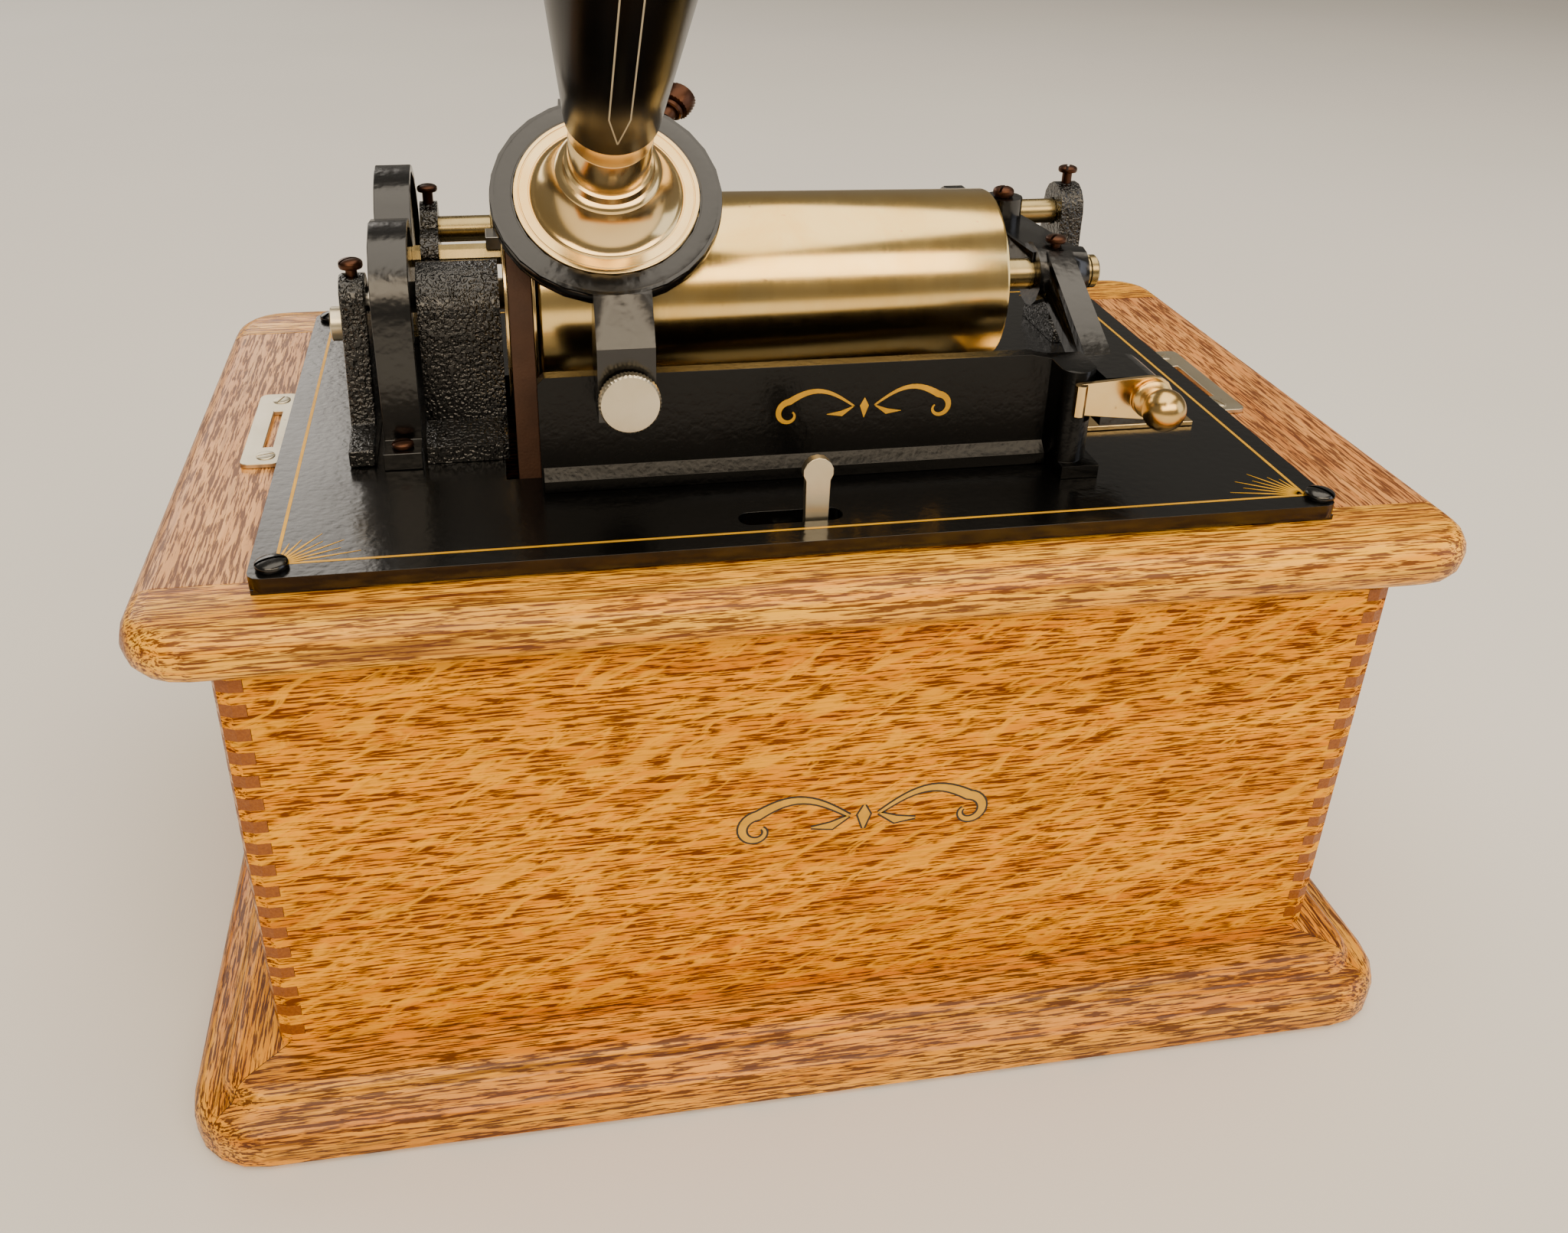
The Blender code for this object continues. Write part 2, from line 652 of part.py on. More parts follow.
def build_bed(top):
    corner = 3.0 * MM
    outline = rounded((BED_LEFT, BED_FRONT), (BED_RIGHT, BED_BACK), corner, 3)
    belt_slot = [(BELT_SLOT_LEFT, BELT_SLOT_FRONT), (BELT_SLOT_RIGHT, BELT_SLOT_FRONT),
                 (BELT_SLOT_RIGHT, BELT_SLOT_BACK), (BELT_SLOT_LEFT, BELT_SLOT_BACK)]
    end = (LEVER_SLOT_BACK - LEVER_SLOT_FRONT) / 2.2
    lever_slot = rounded((LEVER_SLOT_LEFT, LEVER_SLOT_FRONT), (LEVER_SLOT_RIGHT, LEVER_SLOT_BACK), end, 4)
    plate = make("bedplate", prism([outline, belt_slot, lever_slot], "Z", BED_UNDER, BED_FACE),
                 "black_japan", parent=top)
    pad_width, pad_depth, inset, sink = 20.0 * MM, 5.0 * MM, 0.6 * MM, 0.5 * MM
    pads = []
    for x in (BED_LEFT + inset, BED_RIGHT - inset - pad_width):
        for y in (BED_FRONT + inset, BED_BACK - inset - pad_depth * 0.6):
            depth = pad_depth if y < 0.0 else pad_depth * 0.6
            pads.append(box((x, y, TOP_FACE + FIT), (x + pad_width, y + depth, BED_UNDER + sink)))
    return shape_with(plate, merged(*pads), "UNION")


# Castings on the bedplate

def pedestal_outline(radius, front, foot_front, back, foot_back, foot_height, drop=0.0):
    # Foot, tapering sides and a round top about the mandrel's axis
    y, z = MANDREL
    lean = 0.35
    points = [(foot_back, SEAT), (foot_back, SEAT + foot_height), (back, SEAT + foot_height * 1.35)]
    points += arc((y, z - drop), radius, -lean, math.pi + lean, 8)
    points += [(front, SEAT + foot_height * 1.35), (foot_front, SEAT + foot_height), (foot_front, SEAT)]
    return points


ARBOR_END_RADIUS = 3.0 * MM


def build_bearings(top):
    foot_height = 4.2 * MM
    foot_front, foot_back = -30.0 * MM, 16.0 * MM
    body_half = 11.7 * MM
    small_round = 6.5 * MM
    crown_drop = 3.2 * MM
    outline = pedestal_outline(small_round, MANDREL_Y - body_half, foot_front, MANDREL_Y + body_half,
                               foot_back, foot_height)
    bore = opening(MANDREL, ARBOR_END_RADIUS + FIT * 2.0, SMALL_SIDES)
    pedestal = make("end_pedestal", prism([outline, bore], "X", PEDESTAL_LEFT,
                                          PEDESTAL_LEFT + PEDESTAL_WIDTH),
                    "black_japan", parent=top)
    head, rise, stem, depth = 2.9 * MM, 2.4 * MM, 1.4 * MM, 3.0 * MM
    lift = 1.4 * MM
    crown = MANDREL_Z + small_round
    place = Vector((PEDESTAL_LEFT + PEDESTAL_WIDTH / 2.0, MANDREL_Y, crown + lift))
    down = Vector((0.0, 0.0, -depth - lift))
    shape_with(pedestal, drill(stem + FIT, place + down, place, SMALL_SIDES), "DIFFERENCE")
    make("pedestal_screw", screw_solid(place, ALONG["Z"], head, rise, stem, depth + lift - FIT),
         "copper_screw",
         parent=top, smooth=40.0 * DEG)
    cap_radius, cap_thick, cap_drop = 4.2 * MM, 3.0 * MM, 6.0 * MM
    cap = [(FIT, 0.0), (FIT, cap_radius), (cap_thick - RUN, cap_radius), (cap_thick, cap_radius - RUN),
           (cap_thick, 0.0)]
    make("pedestal_cap", turned(cap, ROUND_SIDES, Vector((PEDESTAL_LEFT, MANDREL_Y, MANDREL_Z - cap_drop)),
                                -ALONG["X"]),
         "nickel", parent=top, smooth=30.0 * DEG)
    outline = pedestal_outline(body_half, MANDREL_Y - body_half, foot_front, MANDREL_Y + body_half,
                               foot_back,
                               foot_height, crown_drop)
    bore = opening(MANDREL, ARBOR_RADIUS + FIT * 2.0, ROUND_SIDES)
    make("bearing_housing", prism([outline, bore], "X", HOUSING_LEFT, HOUSING_LEFT + HOUSING_WIDTH),
         "black_japan",
         parent=top)


COVER_WALL = 1.8 * MM
COVER_FRONT_RADIUS = 19.0 * MM
COVER_BACK_RADIUS = 23.8 * MM


def build_cover(top):
    # Band over both gears: down to a screwed foot in front and a plain foot behind
    reach = math.hypot(FEED_Y - MANDREL_Y, FEED_Z - MANDREL_Z)
    base_angle = direction_of(MANDREL, FEED)

    def meeting(front_radius, back_radius):
        along = (reach ** 2 + front_radius ** 2 - back_radius ** 2) / (2.0 * reach)
        rise = math.sqrt(front_radius ** 2 - along ** 2)
        return base_angle + math.atan2(rise, along), base_angle + math.atan2(rise, along - reach)

    foot_height = 4.2 * MM
    lug = 8.0 * MM
    outer_front, outer_back = COVER_FRONT_RADIUS, COVER_BACK_RADIUS
    inner_front, inner_back = COVER_FRONT_RADIUS - COVER_WALL, COVER_BACK_RADIUS - COVER_WALL
    outer_meet = meeting(outer_front, outer_back)
    inner_meet = meeting(inner_front, inner_back)
    points = [(MANDREL_Y - outer_front - lug, SEAT), (MANDREL_Y - outer_front - lug, SEAT + foot_height),
              (MANDREL_Y - outer_front, SEAT + foot_height)]
    points += arc(MANDREL, outer_front, math.pi, outer_meet[0], 5)
    points += arc(FEED, outer_back, outer_meet[1], 0.0, 9)[1:]
    points += [(FEED_Y + outer_back, SEAT), (FEED_Y + inner_back, SEAT)]
    points += arc(FEED, inner_back, 0.0, inner_meet[1], 9)
    points += arc(MANDREL, inner_front, inner_meet[0], math.pi, 5)[1:]
    points += [(MANDREL_Y - inner_front, SEAT)]
    cover = make("gear_cover", prism([points], "X", COVER_LEFT, COVER_LEFT + COVER_WIDTH), "black_japan",
                 parent=top,
                 smooth=30.0 * DEG)
    head, rise, stem = 2.6 * MM, 1.6 * MM, 1.3 * MM
    place = Vector((COVER_LEFT + COVER_WIDTH / 2.0, MANDREL_Y - outer_front - lug / 2.0,
                    SEAT + foot_height + FIT))
    shape_with(cover, drill(stem + FIT, place - ALONG["Z"] * foot_height * 2.0, place + ALONG["Z"] * FIT,
                            SMALL_SIDES),
               "DIFFERENCE")
    make("cover_screw", screw_solid(place, ALONG["Z"], head, rise, stem, foot_height - FIT),
         "copper_screw", parent=top,
         smooth=40.0 * DEG)


def build_rail(top):
    rail_top = BED_FACE + RAIL_HEIGHT
    rail_back = RAIL_FRONT + RAIL_THICK
    post_right = POST_LEFT + POST_WIDTH
    corner = 1.5 * MM
    dip = 1.2 * MM
    outline = [
        (RAIL_LEFT, SEAT), (post_right, SEAT), (post_right, rail_top - dip), (POST_LEFT, rail_top - dip),
        (RAIL_RIGHT, rail_top), (RAIL_LEFT + corner, rail_top), (RAIL_LEFT, rail_top - corner),
    ]
    rail = make("front_rail", prism([outline], "Y", RAIL_FRONT, rail_back), "black_japan", parent=top,
                smooth=20.0 * DEG)
    foot, foot_rise, behind, sink = 2.6 * MM, 4.0 * MM, 6.0 * MM, 0.4 * MM
    section = [
        (RAIL_FRONT - foot, SEAT), (rail_back + behind, SEAT), (rail_back + behind, SEAT + foot_rise * 0.7),
        (rail_back - sink, SEAT + foot_rise * 1.4), (RAIL_FRONT + sink, SEAT + foot_rise * 1.4),
        (RAIL_FRONT - foot, SEAT + foot_rise * 0.7),
    ]
    shape_with(rail, prism([section], "X", RAIL_LEFT + sink, POST_LEFT + sink), "UNION")
    # Latch post: half-round nose for the hook and a square back
    nose = POST_WIDTH * 0.42
    centre = (POST_LEFT + nose, POST_FRONT + nose)
    plan = [(post_right, rail_back - sink), (POST_LEFT, rail_back - sink)]
    plan += arc(centre, nose, math.pi, math.pi * 1.75, 6)
    plan += [(post_right, POST_FRONT + nose)]
    shape_with(rail, prism([plan], "Z", SEAT, rail_top - dip), "UNION")
    flare = 1.6 * MM
    low = (POST_LEFT + flare * 0.6, POST_FRONT - flare * 1.2, SEAT)
    high = (post_right + flare, rail_back + behind, SEAT + foot_rise * 0.8)
    shape_with(rail, box(low, high), "UNION")


def post_outline(foot_front, foot_back, crown, holes):
    # Upright seen from its side: foot, straight sides and a rounded crown over the back rod
    foot_height = 4.0 * MM
    round_radius = 7.2 * MM
    front = ROD_Y - round_radius
    back = ROD_Y + round_radius
    points = [(foot_back, SEAT), (foot_back, SEAT + foot_height), (back, SEAT + foot_height * 1.4)]
    points += arc((ROD_Y, crown - round_radius), round_radius, 0.0, math.pi, 7)
    points += [(front, SEAT + foot_height * 1.4), (foot_front, SEAT + foot_height), (foot_front, SEAT)]
    return [points] + holes


POST_SCREW_HEAD = 2.7 * MM
POST_SCREW_RISE = 1.9 * MM
POST_SCREW_STEM = 1.4 * MM
FEED_END_RADIUS = 2.0 * MM
GATE_SCREW_RADIUS = 2.0 * MM


def set_screw(top, name, owner, place, lift, depth, parent=None):
    # Screw that stands a little proud of its hole in a casting
    start = place + ALONG["Z"] * lift
    end = place - ALONG["Z"] * depth
    shape_with(owner, drill(POST_SCREW_STEM + FIT, end, start, SMALL_SIDES), "DIFFERENCE")
    solid = screw_solid(start, ALONG["Z"], POST_SCREW_HEAD, POST_SCREW_RISE, POST_SCREW_STEM,
                        lift + depth - FIT)
    return make(name, solid, "copper_screw", parent=parent or top, smooth=40.0 * DEG)


def build_back(top):
    toe, heel = 12.0 * MM, 13.0 * MM
    rise_left, rise_right, rise_gate, boss_wall = 7.6 * MM, 8.3 * MM, 7.9 * MM, 3.0 * MM
    foot_front, foot_back = ROD_Y - toe, ROD_Y + heel
    crown_left = ROD_Z + rise_left
    crown_right = ROD_Z + rise_right
    rod_hole = opening(ROD, ROD_RADIUS + FIT * 2.0, SMALL_SIDES)
    lift, depth = 3.0 * MM, 3.6 * MM
    # The left post also carries the feed screw in a boss at its front
    left = make("back_post_left",
                prism(post_outline(foot_front, foot_back, crown_left, [rod_hole]), "X", BACK_POST_LEFT,
                      BACK_POST_LEFT + BACK_POST_WIDTH), "black_japan", parent=top, smooth=20.0 * DEG)
    boss = FEED_RADIUS + boss_wall
    sink = 5.0 * MM
    boss_outline = arc(FEED, boss, math.pi / 2.0, math.pi * 1.5, 6)
    boss_outline += [(FEED_Y + boss + sink, FEED_Z - boss),
                     (FEED_Y + boss + sink, FEED_Z - ROD_RADIUS * 0.9)]
    boss_outline += [(FEED_Y + boss * 0.7, FEED_Z + boss)]
    shape_with(left, prism([boss_outline], "X", BACK_POST_LEFT, BACK_POST_LEFT + BACK_POST_WIDTH), "UNION")
    bore = drill(FEED_RADIUS + FIT * 2.0, Vector((BACK_POST_LEFT - OVERRUN, *FEED)),
               Vector((BACK_POST_LEFT + BACK_POST_WIDTH + OVERRUN, *FEED)), SMALL_SIDES)
    shape_with(left, bore, "DIFFERENCE")
    set_screw(top, "post_screw_left", left, Vector((BACK_POST_LEFT + BACK_POST_WIDTH / 2.0, ROD_Y,
                                                    crown_left)), lift,
              depth)
    right = make("back_post_right",
                 prism(post_outline(foot_front, foot_back, crown_right, [rod_hole]), "X", RIGHT_POST_LEFT,
                       RIGHT_POST_LEFT + RIGHT_POST_WIDTH), "black_japan", parent=top, smooth=20.0 * DEG)
    set_screw(top, "post_screw_right", right, Vector((RIGHT_POST_LEFT + RIGHT_POST_WIDTH / 2.0, ROD_Y,
                                                      crown_right)),
              lift, depth)
    end_play = 0.5 * MM
    make("back_rod", rod(ROD_RADIUS, Vector((BACK_POST_LEFT + end_play, *ROD)),
                         Vector((RIGHT_POST_LEFT + RIGHT_POST_WIDTH - end_play,
                                 *ROD)), ROUND_SIDES), "brass", parent=top,
         smooth=30.0 * DEG)
    # Feed-screw post with the lug that carries the gate's pivot
    feed_toe = 9.0 * MM
    crown = ROD_Z + rise_gate
    front_foot = FEED_Y - feed_toe
    post = make("gate_post",
                prism(post_outline(front_foot, foot_back, crown, [rod_hole]), "X", FEED_POST_LEFT,
                      FEED_POST_LEFT + FEED_POST_WIDTH), "black_japan", parent=top, smooth=20.0 * DEG)
    shape_with(post, prism([boss_outline], "X", FEED_POST_LEFT, FEED_POST_LEFT + FEED_POST_WIDTH), "UNION")
    lug_radius = 6.0 * MM
    lug_height = 10.0 * MM
    lug_top = GATE_EAR_BOTTOM - RUN
    plan = arc((GATE_PIVOT_X, GATE_PIVOT_Y), lug_radius, -math.pi / 2.0, math.pi / 2.0, 6)
    plan += [(FEED_POST_LEFT + RUN, GATE_PIVOT_Y + lug_radius),
             (FEED_POST_LEFT + RUN, GATE_PIVOT_Y - lug_radius)]
    shape_with(post, prism([plan], "Z", lug_top - lug_height, lug_top), "UNION")
    bore_start = Vector((FEED_POST_LEFT - OVERRUN, *FEED))
    bore_end = Vector((FEED_POST_LEFT + FEED_POST_WIDTH * 0.7, *FEED))
    shape_with(post, drill(FEED_END_RADIUS + FIT * 2.0, bore_start, bore_end, SMALL_SIDES), "DIFFERENCE")
    pivot_top = Vector((GATE_PIVOT_X, GATE_PIVOT_Y, lug_top + OVERRUN))
    pivot_end = Vector((GATE_PIVOT_X, GATE_PIVOT_Y, lug_top - lug_height * 0.6))
    shape_with(post, drill(GATE_SCREW_RADIUS + FIT, pivot_end, pivot_top, SMALL_SIDES), "DIFFERENCE")
    head_place = Vector((GATE_PIVOT_X, GATE_PIVOT_Y,
                         GATE_EAR_BOTTOM + GATE_EAR_HEIGHT + GATE_BOSS_RISE + RUN))
    stem = GATE_EAR_HEIGHT + GATE_BOSS_RISE + RUN * 2.0 + lug_height * 0.6 - FIT
    head, head_rise = 2.9 * MM, 2.6 * MM
    make("gate_pivot_screw", screw_solid(head_place, ALONG["Z"], head, head_rise, GATE_SCREW_RADIUS, stem),
         "copper_screw", parent=top, smooth=40.0 * DEG)



def build_plates(top):
    # Catch plates for the lid on the oak beside the bedplate, and a blank plate on the bed
    thick = 1.2 * MM
    front, back, width, corner = -18.1 * MM, 26.6 * MM, 9.7 * MM, 2.0 * MM
    slot_front_share, slot_back_share = 0.22, 0.73
    slot_near_share, slot_far_share = 0.28, 0.52
    length = back - front
    for name, edge, sign in (("lid_catch_left", BED_LEFT, -1.0), ("lid_catch_right", BED_RIGHT, 1.0)):
        inner = edge + sign * RUN
        near, far = sorted((inner, inner + sign * width))
        outline = rounded((near, front), (far, back), corner, 3)
        xs = sorted((inner + sign * width * slot_near_share, inner + sign * width * slot_far_share))
        ys = (front + length * slot_front_share, front + length * slot_back_share)
        slot = [(xs[0], ys[0]), (xs[1], ys[0]), (xs[1], ys[1]), (xs[0], ys[1])]
        make(name, prism([outline, slot], "Z", TOP_FACE + FIT, TOP_FACE + FIT + thick), "nickel",
             parent=top)
    plate_inset, plate_width, plate_depth, plate_lead = 13.7 * MM, 49.5 * MM, 19.1 * MM, 27.5 * MM
    plate_right = BED_RIGHT - plate_inset
    plate_left = plate_right - plate_width
    plate_front = MANDREL_Y - plate_lead
    plate_back = plate_front + plate_depth
    make("blank_plate", box((plate_left, plate_front, SEAT), (plate_right, plate_back, SEAT + thick)),
         "nickel",
         parent=top)


# Mandrel body: arbor, gear, pulley and drum turn together

def build_mandrel(top):
    origin = Vector((MANDREL_LEFT, *MANDREL))
    turning = pivot("mandrel_axis", origin, top)
    inset = 12.0 * MM
    neck = PEDESTAL_LEFT + PEDESTAL_WIDTH + RUN * 2.0
    end = PEDESTAL_LEFT + RUN
    arbor = [
        (end, 0.0), (end, ARBOR_END_RADIUS), (neck, ARBOR_END_RADIUS), (neck, ARBOR_RADIUS),
        (MANDREL_LEFT + inset, ARBOR_RADIUS), (MANDREL_LEFT + inset, 0.0),
    ]
    axis_point = Vector((0.0, *MANDREL))
    shaft = make("mandrel_arbor", turned(arbor, ROUND_SIDES, axis_point, ALONG["X"]), "steel", origin,
                 turning, 30.0 * DEG)
    gear_play = 1.4 * MM
    toward = direction_of(MANDREL, FEED)
    outline = gear_outline(MANDREL, FEED_MODULE, MANDREL_TEETH, toward)
    shape_with(shaft, prism([outline], "X", COVER_LEFT + gear_play, COVER_LEFT + COVER_WIDTH - gear_play),
               "UNION")
    flange_rise, flange = 1.9 * MM, 0.7 * MM
    right = PULLEY_LEFT + PULLEY_WIDTH
    rim_wall, web = 3.0 * MM, 2.4 * MM
    hub = 8.0 * MM
    middle = (PULLEY_LEFT + right) / 2.0
    wheel = [
        (PULLEY_LEFT, ARBOR_RADIUS + FIT), (PULLEY_LEFT, hub), (middle - web / 2.0, hub),
        (middle - web / 2.0, PULLEY_SEAT - rim_wall), (PULLEY_LEFT, PULLEY_SEAT - rim_wall),
        (PULLEY_LEFT, PULLEY_SEAT + flange_rise), (PULLEY_LEFT + flange, PULLEY_SEAT + flange_rise),
        (PULLEY_LEFT + flange, PULLEY_SEAT), (right - flange, PULLEY_SEAT),
        (right - flange, PULLEY_SEAT + flange_rise),
        (right, PULLEY_SEAT + flange_rise), (right, ARBOR_RADIUS + FIT),
    ]
    make("mandrel_pulley", turned(wheel, FINE_SIDES, axis_point, ALONG["X"], closed=True), "nickel",
         origin, turning, 30.0 * DEG)
    left = MANDREL_LEFT
    wall, edge, floor = 2.2 * MM, 0.6 * MM, 3.0 * MM
    core = 7.5 * MM
    cone_mouth, cone_floor, cone_depth = 4.7 * MM, 2.5 * MM, 2.6 * MM
    drum = [
        (left + inset + RUN, 0.0), (left + inset + RUN, ARBOR_RADIUS + FIT), (left, ARBOR_RADIUS + FIT),
        (left, MANDREL_BIG_RADIUS - edge), (left + edge, MANDREL_BIG_RADIUS),
        (MANDREL_RIGHT - edge, MANDREL_SMALL_RADIUS), (MANDREL_RIGHT, MANDREL_SMALL_RADIUS - edge),
        (MANDREL_RIGHT, MANDREL_SMALL_RADIUS - wall),
        (left + floor, MANDREL_BIG_RADIUS - wall), (left + floor, core),
        (MANDREL_RIGHT, core), (MANDREL_RIGHT, cone_mouth), (MANDREL_RIGHT - cone_depth, cone_floor),
        (MANDREL_RIGHT - cone_depth, 0.0),
    ]
    make("mandrel", turned(drum, FINE_SIDES, axis_point, ALONG["X"]), "nickel", origin, turning, 30.0 * DEG)


def build_feed(top):
    origin = Vector((COVER_LEFT, *FEED))
    turning = pivot("feed_axis", origin, top)
    end_play = 1.0 * MM
    left = COVER_LEFT - end_play
    shoulder = FEED_POST_LEFT - RUN * 2.0
    tip = FEED_POST_LEFT + FEED_POST_WIDTH * 0.7 - RUN
    gear_play = 1.4 * MM
    screw = [
        (left, 0.0), (left, FEED_END_RADIUS), (COVER_LEFT + COVER_WIDTH - gear_play, FEED_END_RADIUS),
        (COVER_LEFT + COVER_WIDTH - gear_play, FEED_RADIUS), (shoulder, FEED_RADIUS),
        (shoulder, FEED_END_RADIUS), (tip, FEED_END_RADIUS), (tip, 0.0),
    ]
    shaft = make("feed_screw", turned(screw, SMALL_SIDES, Vector((0.0, *FEED)), ALONG["X"]), "nickel",
                 origin, turning, 30.0 * DEG)
    toward = direction_of(FEED, MANDREL)
    outline = gear_outline(FEED, FEED_MODULE, FEED_TEETH, toward + math.pi / FEED_TEETH)
    gear = prism([outline], "X", COVER_LEFT + gear_play, COVER_LEFT + COVER_WIDTH - gear_play - FIT)
    shape_with(shaft, gear, "UNION")


# Carriage: sleeve that slides, arm that lifts about the back rod
SLEEVE_RADIUS = 5.0 * MM
SLEEVE_LEFT = -71.0 * MM
SLEEVE_LENGTH = 38.0 * MM
CLAMP_ANGLE = 35.5 * DEG


def eye_place(bm):
    # From the eye's own frame (X, down, out) to the world
    frame = Matrix((
        (1.0, EYE_DOWN.x, EYE_OUT.x, EYE_CENTRE.x),
        (0.0, EYE_DOWN.y, EYE_OUT.y, EYE_CENTRE.y),
        (0.0, EYE_DOWN.z, EYE_OUT.z, EYE_CENTRE.z),
        (0.0, 0.0, 0.0, 1.0),
    ))
    bmesh.ops.transform(bm, matrix=frame, verts=bm.verts)
    bmesh.ops.recalc_face_normals(bm, faces=bm.faces)
    return bm


def eye_point(down, out):
    # Point of the eye's middle plane as (y, z)
    point = EYE_CENTRE + EYE_DOWN * down + EYE_OUT * out
    return (point.y, point.z)


def build_carriage(top):
    rest = Vector((SLEEVE_LEFT, *ROD))
    sliding = pivot("carriage_slide", rest, top)
    tube = [(0.0, ROD_RADIUS + FIT * 2.0), (0.0, SLEEVE_RADIUS), (SLEEVE_LENGTH, SLEEVE_RADIUS),
            (SLEEVE_LENGTH, ROD_RADIUS + FIT * 2.0)]
    make("carriage_sleeve", turned(tube, ROUND_SIDES, rest, ALONG["X"], closed=True), "brass", rest,
         sliding, 30.0 * DEG)
    lifting = pivot("arm_axis", rest, sliding)

    end_play = 0.5 * MM
    hub_left, hub_right = SLEEVE_LEFT + end_play, SLEEVE_LEFT + SLEEVE_LENGTH - end_play
    hub_half, hub_up, hub_down, hub_corner = 7.4 * MM, 8.6 * MM, 7.0 * MM, 2.0 * MM
    section = rounded((ROD_Y - hub_half, ROD_Z - hub_down), (ROD_Y + hub_half, ROD_Z + hub_up), hub_corner,
                      2)
    hub = prism([section, opening(ROD, SLEEVE_RADIUS + FIT * 1.5, ROUND_SIDES)], "X", hub_left, hub_right)
    arm = make("reproducer_arm", hub, "black_japan", rest, lifting, 25.0 * DEG)
    arm_half = 9.0 * MM
    arm_thick = 5.0 * MM
    bite = 3.0 * MM
    upper = eye_point(-EYE_RADIUS, 0.0)
    inside = eye_point(-EYE_RADIUS + bite, -EYE_THICK)
    hub_top = (ROD_Y, ROD_Z + hub_up - RUN)
    hub_front = (ROD_Y - hub_half + RUN, ROD_Z + SLEEVE_RADIUS + RUN * 2.0)
    rise_share, along_share = 0.10, 0.45
    span = (hub_top[0] - upper[0], hub_top[1] - upper[1])
    bow = (upper[0] + span[0] * along_share, upper[1] + span[1] * (along_share - rise_share))
    outline = [
        eye_point(-EYE_RADIUS + bite, -RUN), upper, bow, hub_top, hub_front,
        (bow[0] - arm_thick * 0.6, bow[1] - arm_thick * 0.9), eye_point(-EYE_RADIUS, -EYE_THICK), inside,
    ]
    shape_with(arm, prism([outline], "X", EYE_X - arm_half, EYE_X + arm_half), "UNION")
    shape_with(arm, eye_place(lathe([(-EYE_THICK, 0.0), (-EYE_THICK, EYE_RADIUS), (0.0, EYE_RADIUS),
                                     (0.0, 0.0)], FINE_SIDES + 4)),
               "UNION")
    # Neck and front block that hang over the rail
    block_left, block_width = -50.1 * MM, 12.8 * MM
    block_lead, skirt_gap, knob_drop = 0.5 * MM, 1.8 * MM, 1.4 * MM
    block_front = POST_FRONT - block_lead
    rail_top = BED_FACE + RAIL_HEIGHT
    skirt_back = RAIL_FRONT - skirt_gap
    brow, chin, skirt = 10.0 * MM, 7.0 * MM, 3.0 * MM
    outline = [
        eye_point(EYE_RADIUS - bite, -RUN), eye_point(EYE_RADIUS, 0.0), (block_front, rail_top + brow),
        (block_front, rail_top - chin), (skirt_back, rail_top - chin), (skirt_back, rail_top + RUN * 2.0),
        (skirt_back + skirt * 2.0, rail_top + RUN * 2.0), (skirt_back + skirt * 2.0, rail_top + skirt),
        eye_point(EYE_RADIUS - bite, -EYE_THICK + RUN),
    ]
    shape_with(arm, prism([outline], "X", block_left, block_left + block_width), "UNION")
    shape_with(arm, eye_place(lathe([(-EYE_THICK - OVERRUN, EYE_BORE), (OVERRUN, EYE_BORE)], FINE_SIDES)),
               "DIFFERENCE")
    knob_place = Vector((block_left + block_width * 0.52, block_front, rail_top - knob_drop))
    stem, stem_depth = 2.0 * MM, 6.0 * MM
    into = knob_place + ALONG["Y"] * stem_depth
    out_of = knob_place - ALONG["Y"] * OVERRUN
    shape_with(arm, drill(stem + FIT * 2.0, into, out_of, SMALL_SIDES), "DIFFERENCE")
    gap, thick, radius, bevel = 1.1 * MM, 3.2 * MM, 6.9 * MM, 0.4 * MM
    knob = [
        (-stem_depth + RUN, 0.0), (-stem_depth + RUN, stem), (gap, stem), (gap,
            radius - bevel), (gap + bevel, radius),
        (gap + thick - bevel, radius), (gap + thick, radius - bevel), (gap + thick, 0.0),
    ]
    make("lift_knob", turned(knob, ROUND_SIDES, knob_place, -ALONG["Y"]), "nickel", knob_place, lifting,
         30.0 * DEG)
    # Clamp screw set into the eye's edge
    outward = Vector((math.sin(CLAMP_ANGLE), 0.0, 0.0)) - math.cos(CLAMP_ANGLE) * EYE_DOWN
    screw_root = EYE_CENTRE - EYE_OUT * (EYE_THICK / 2.0)
    pin, pin_short = 1.2 * MM, 1.0 * MM
    pin_inner = EYE_BORE + pin_short
    shape_with(arm, drill(pin + FIT, screw_root + outward * (EYE_BORE - OVERRUN), screw_root + outward *
                        (EYE_RADIUS + OVERRUN), SMALL_SIDES), "DIFFERENCE")
    neck, collar, head = 1.8 * MM, 2.8 * MM, 3.9 * MM
    neck_run, collar_run, head_run = 2.4 * MM, 1.4 * MM, 5.0 * MM
    start = EYE_RADIUS + RUN
    profile = [
        (pin_inner, 0.0), (pin_inner, pin), (start, pin), (start, neck), (start + neck_run, neck),
        (start + neck_run, collar), (start + neck_run + collar_run,
                                     collar), (start + neck_run + collar_run, head),
        (start + neck_run + head_run, head), (start + neck_run + collar_run + head_run, head * 0.6),
        (start + neck_run + collar_run + head_run, 0.0),
    ]
    make("clamp_screw", turned(profile, SMALL_SIDES, screw_root, outward), "copper_screw",
         screw_root + outward * start,
         lifting, 40.0 * DEG)
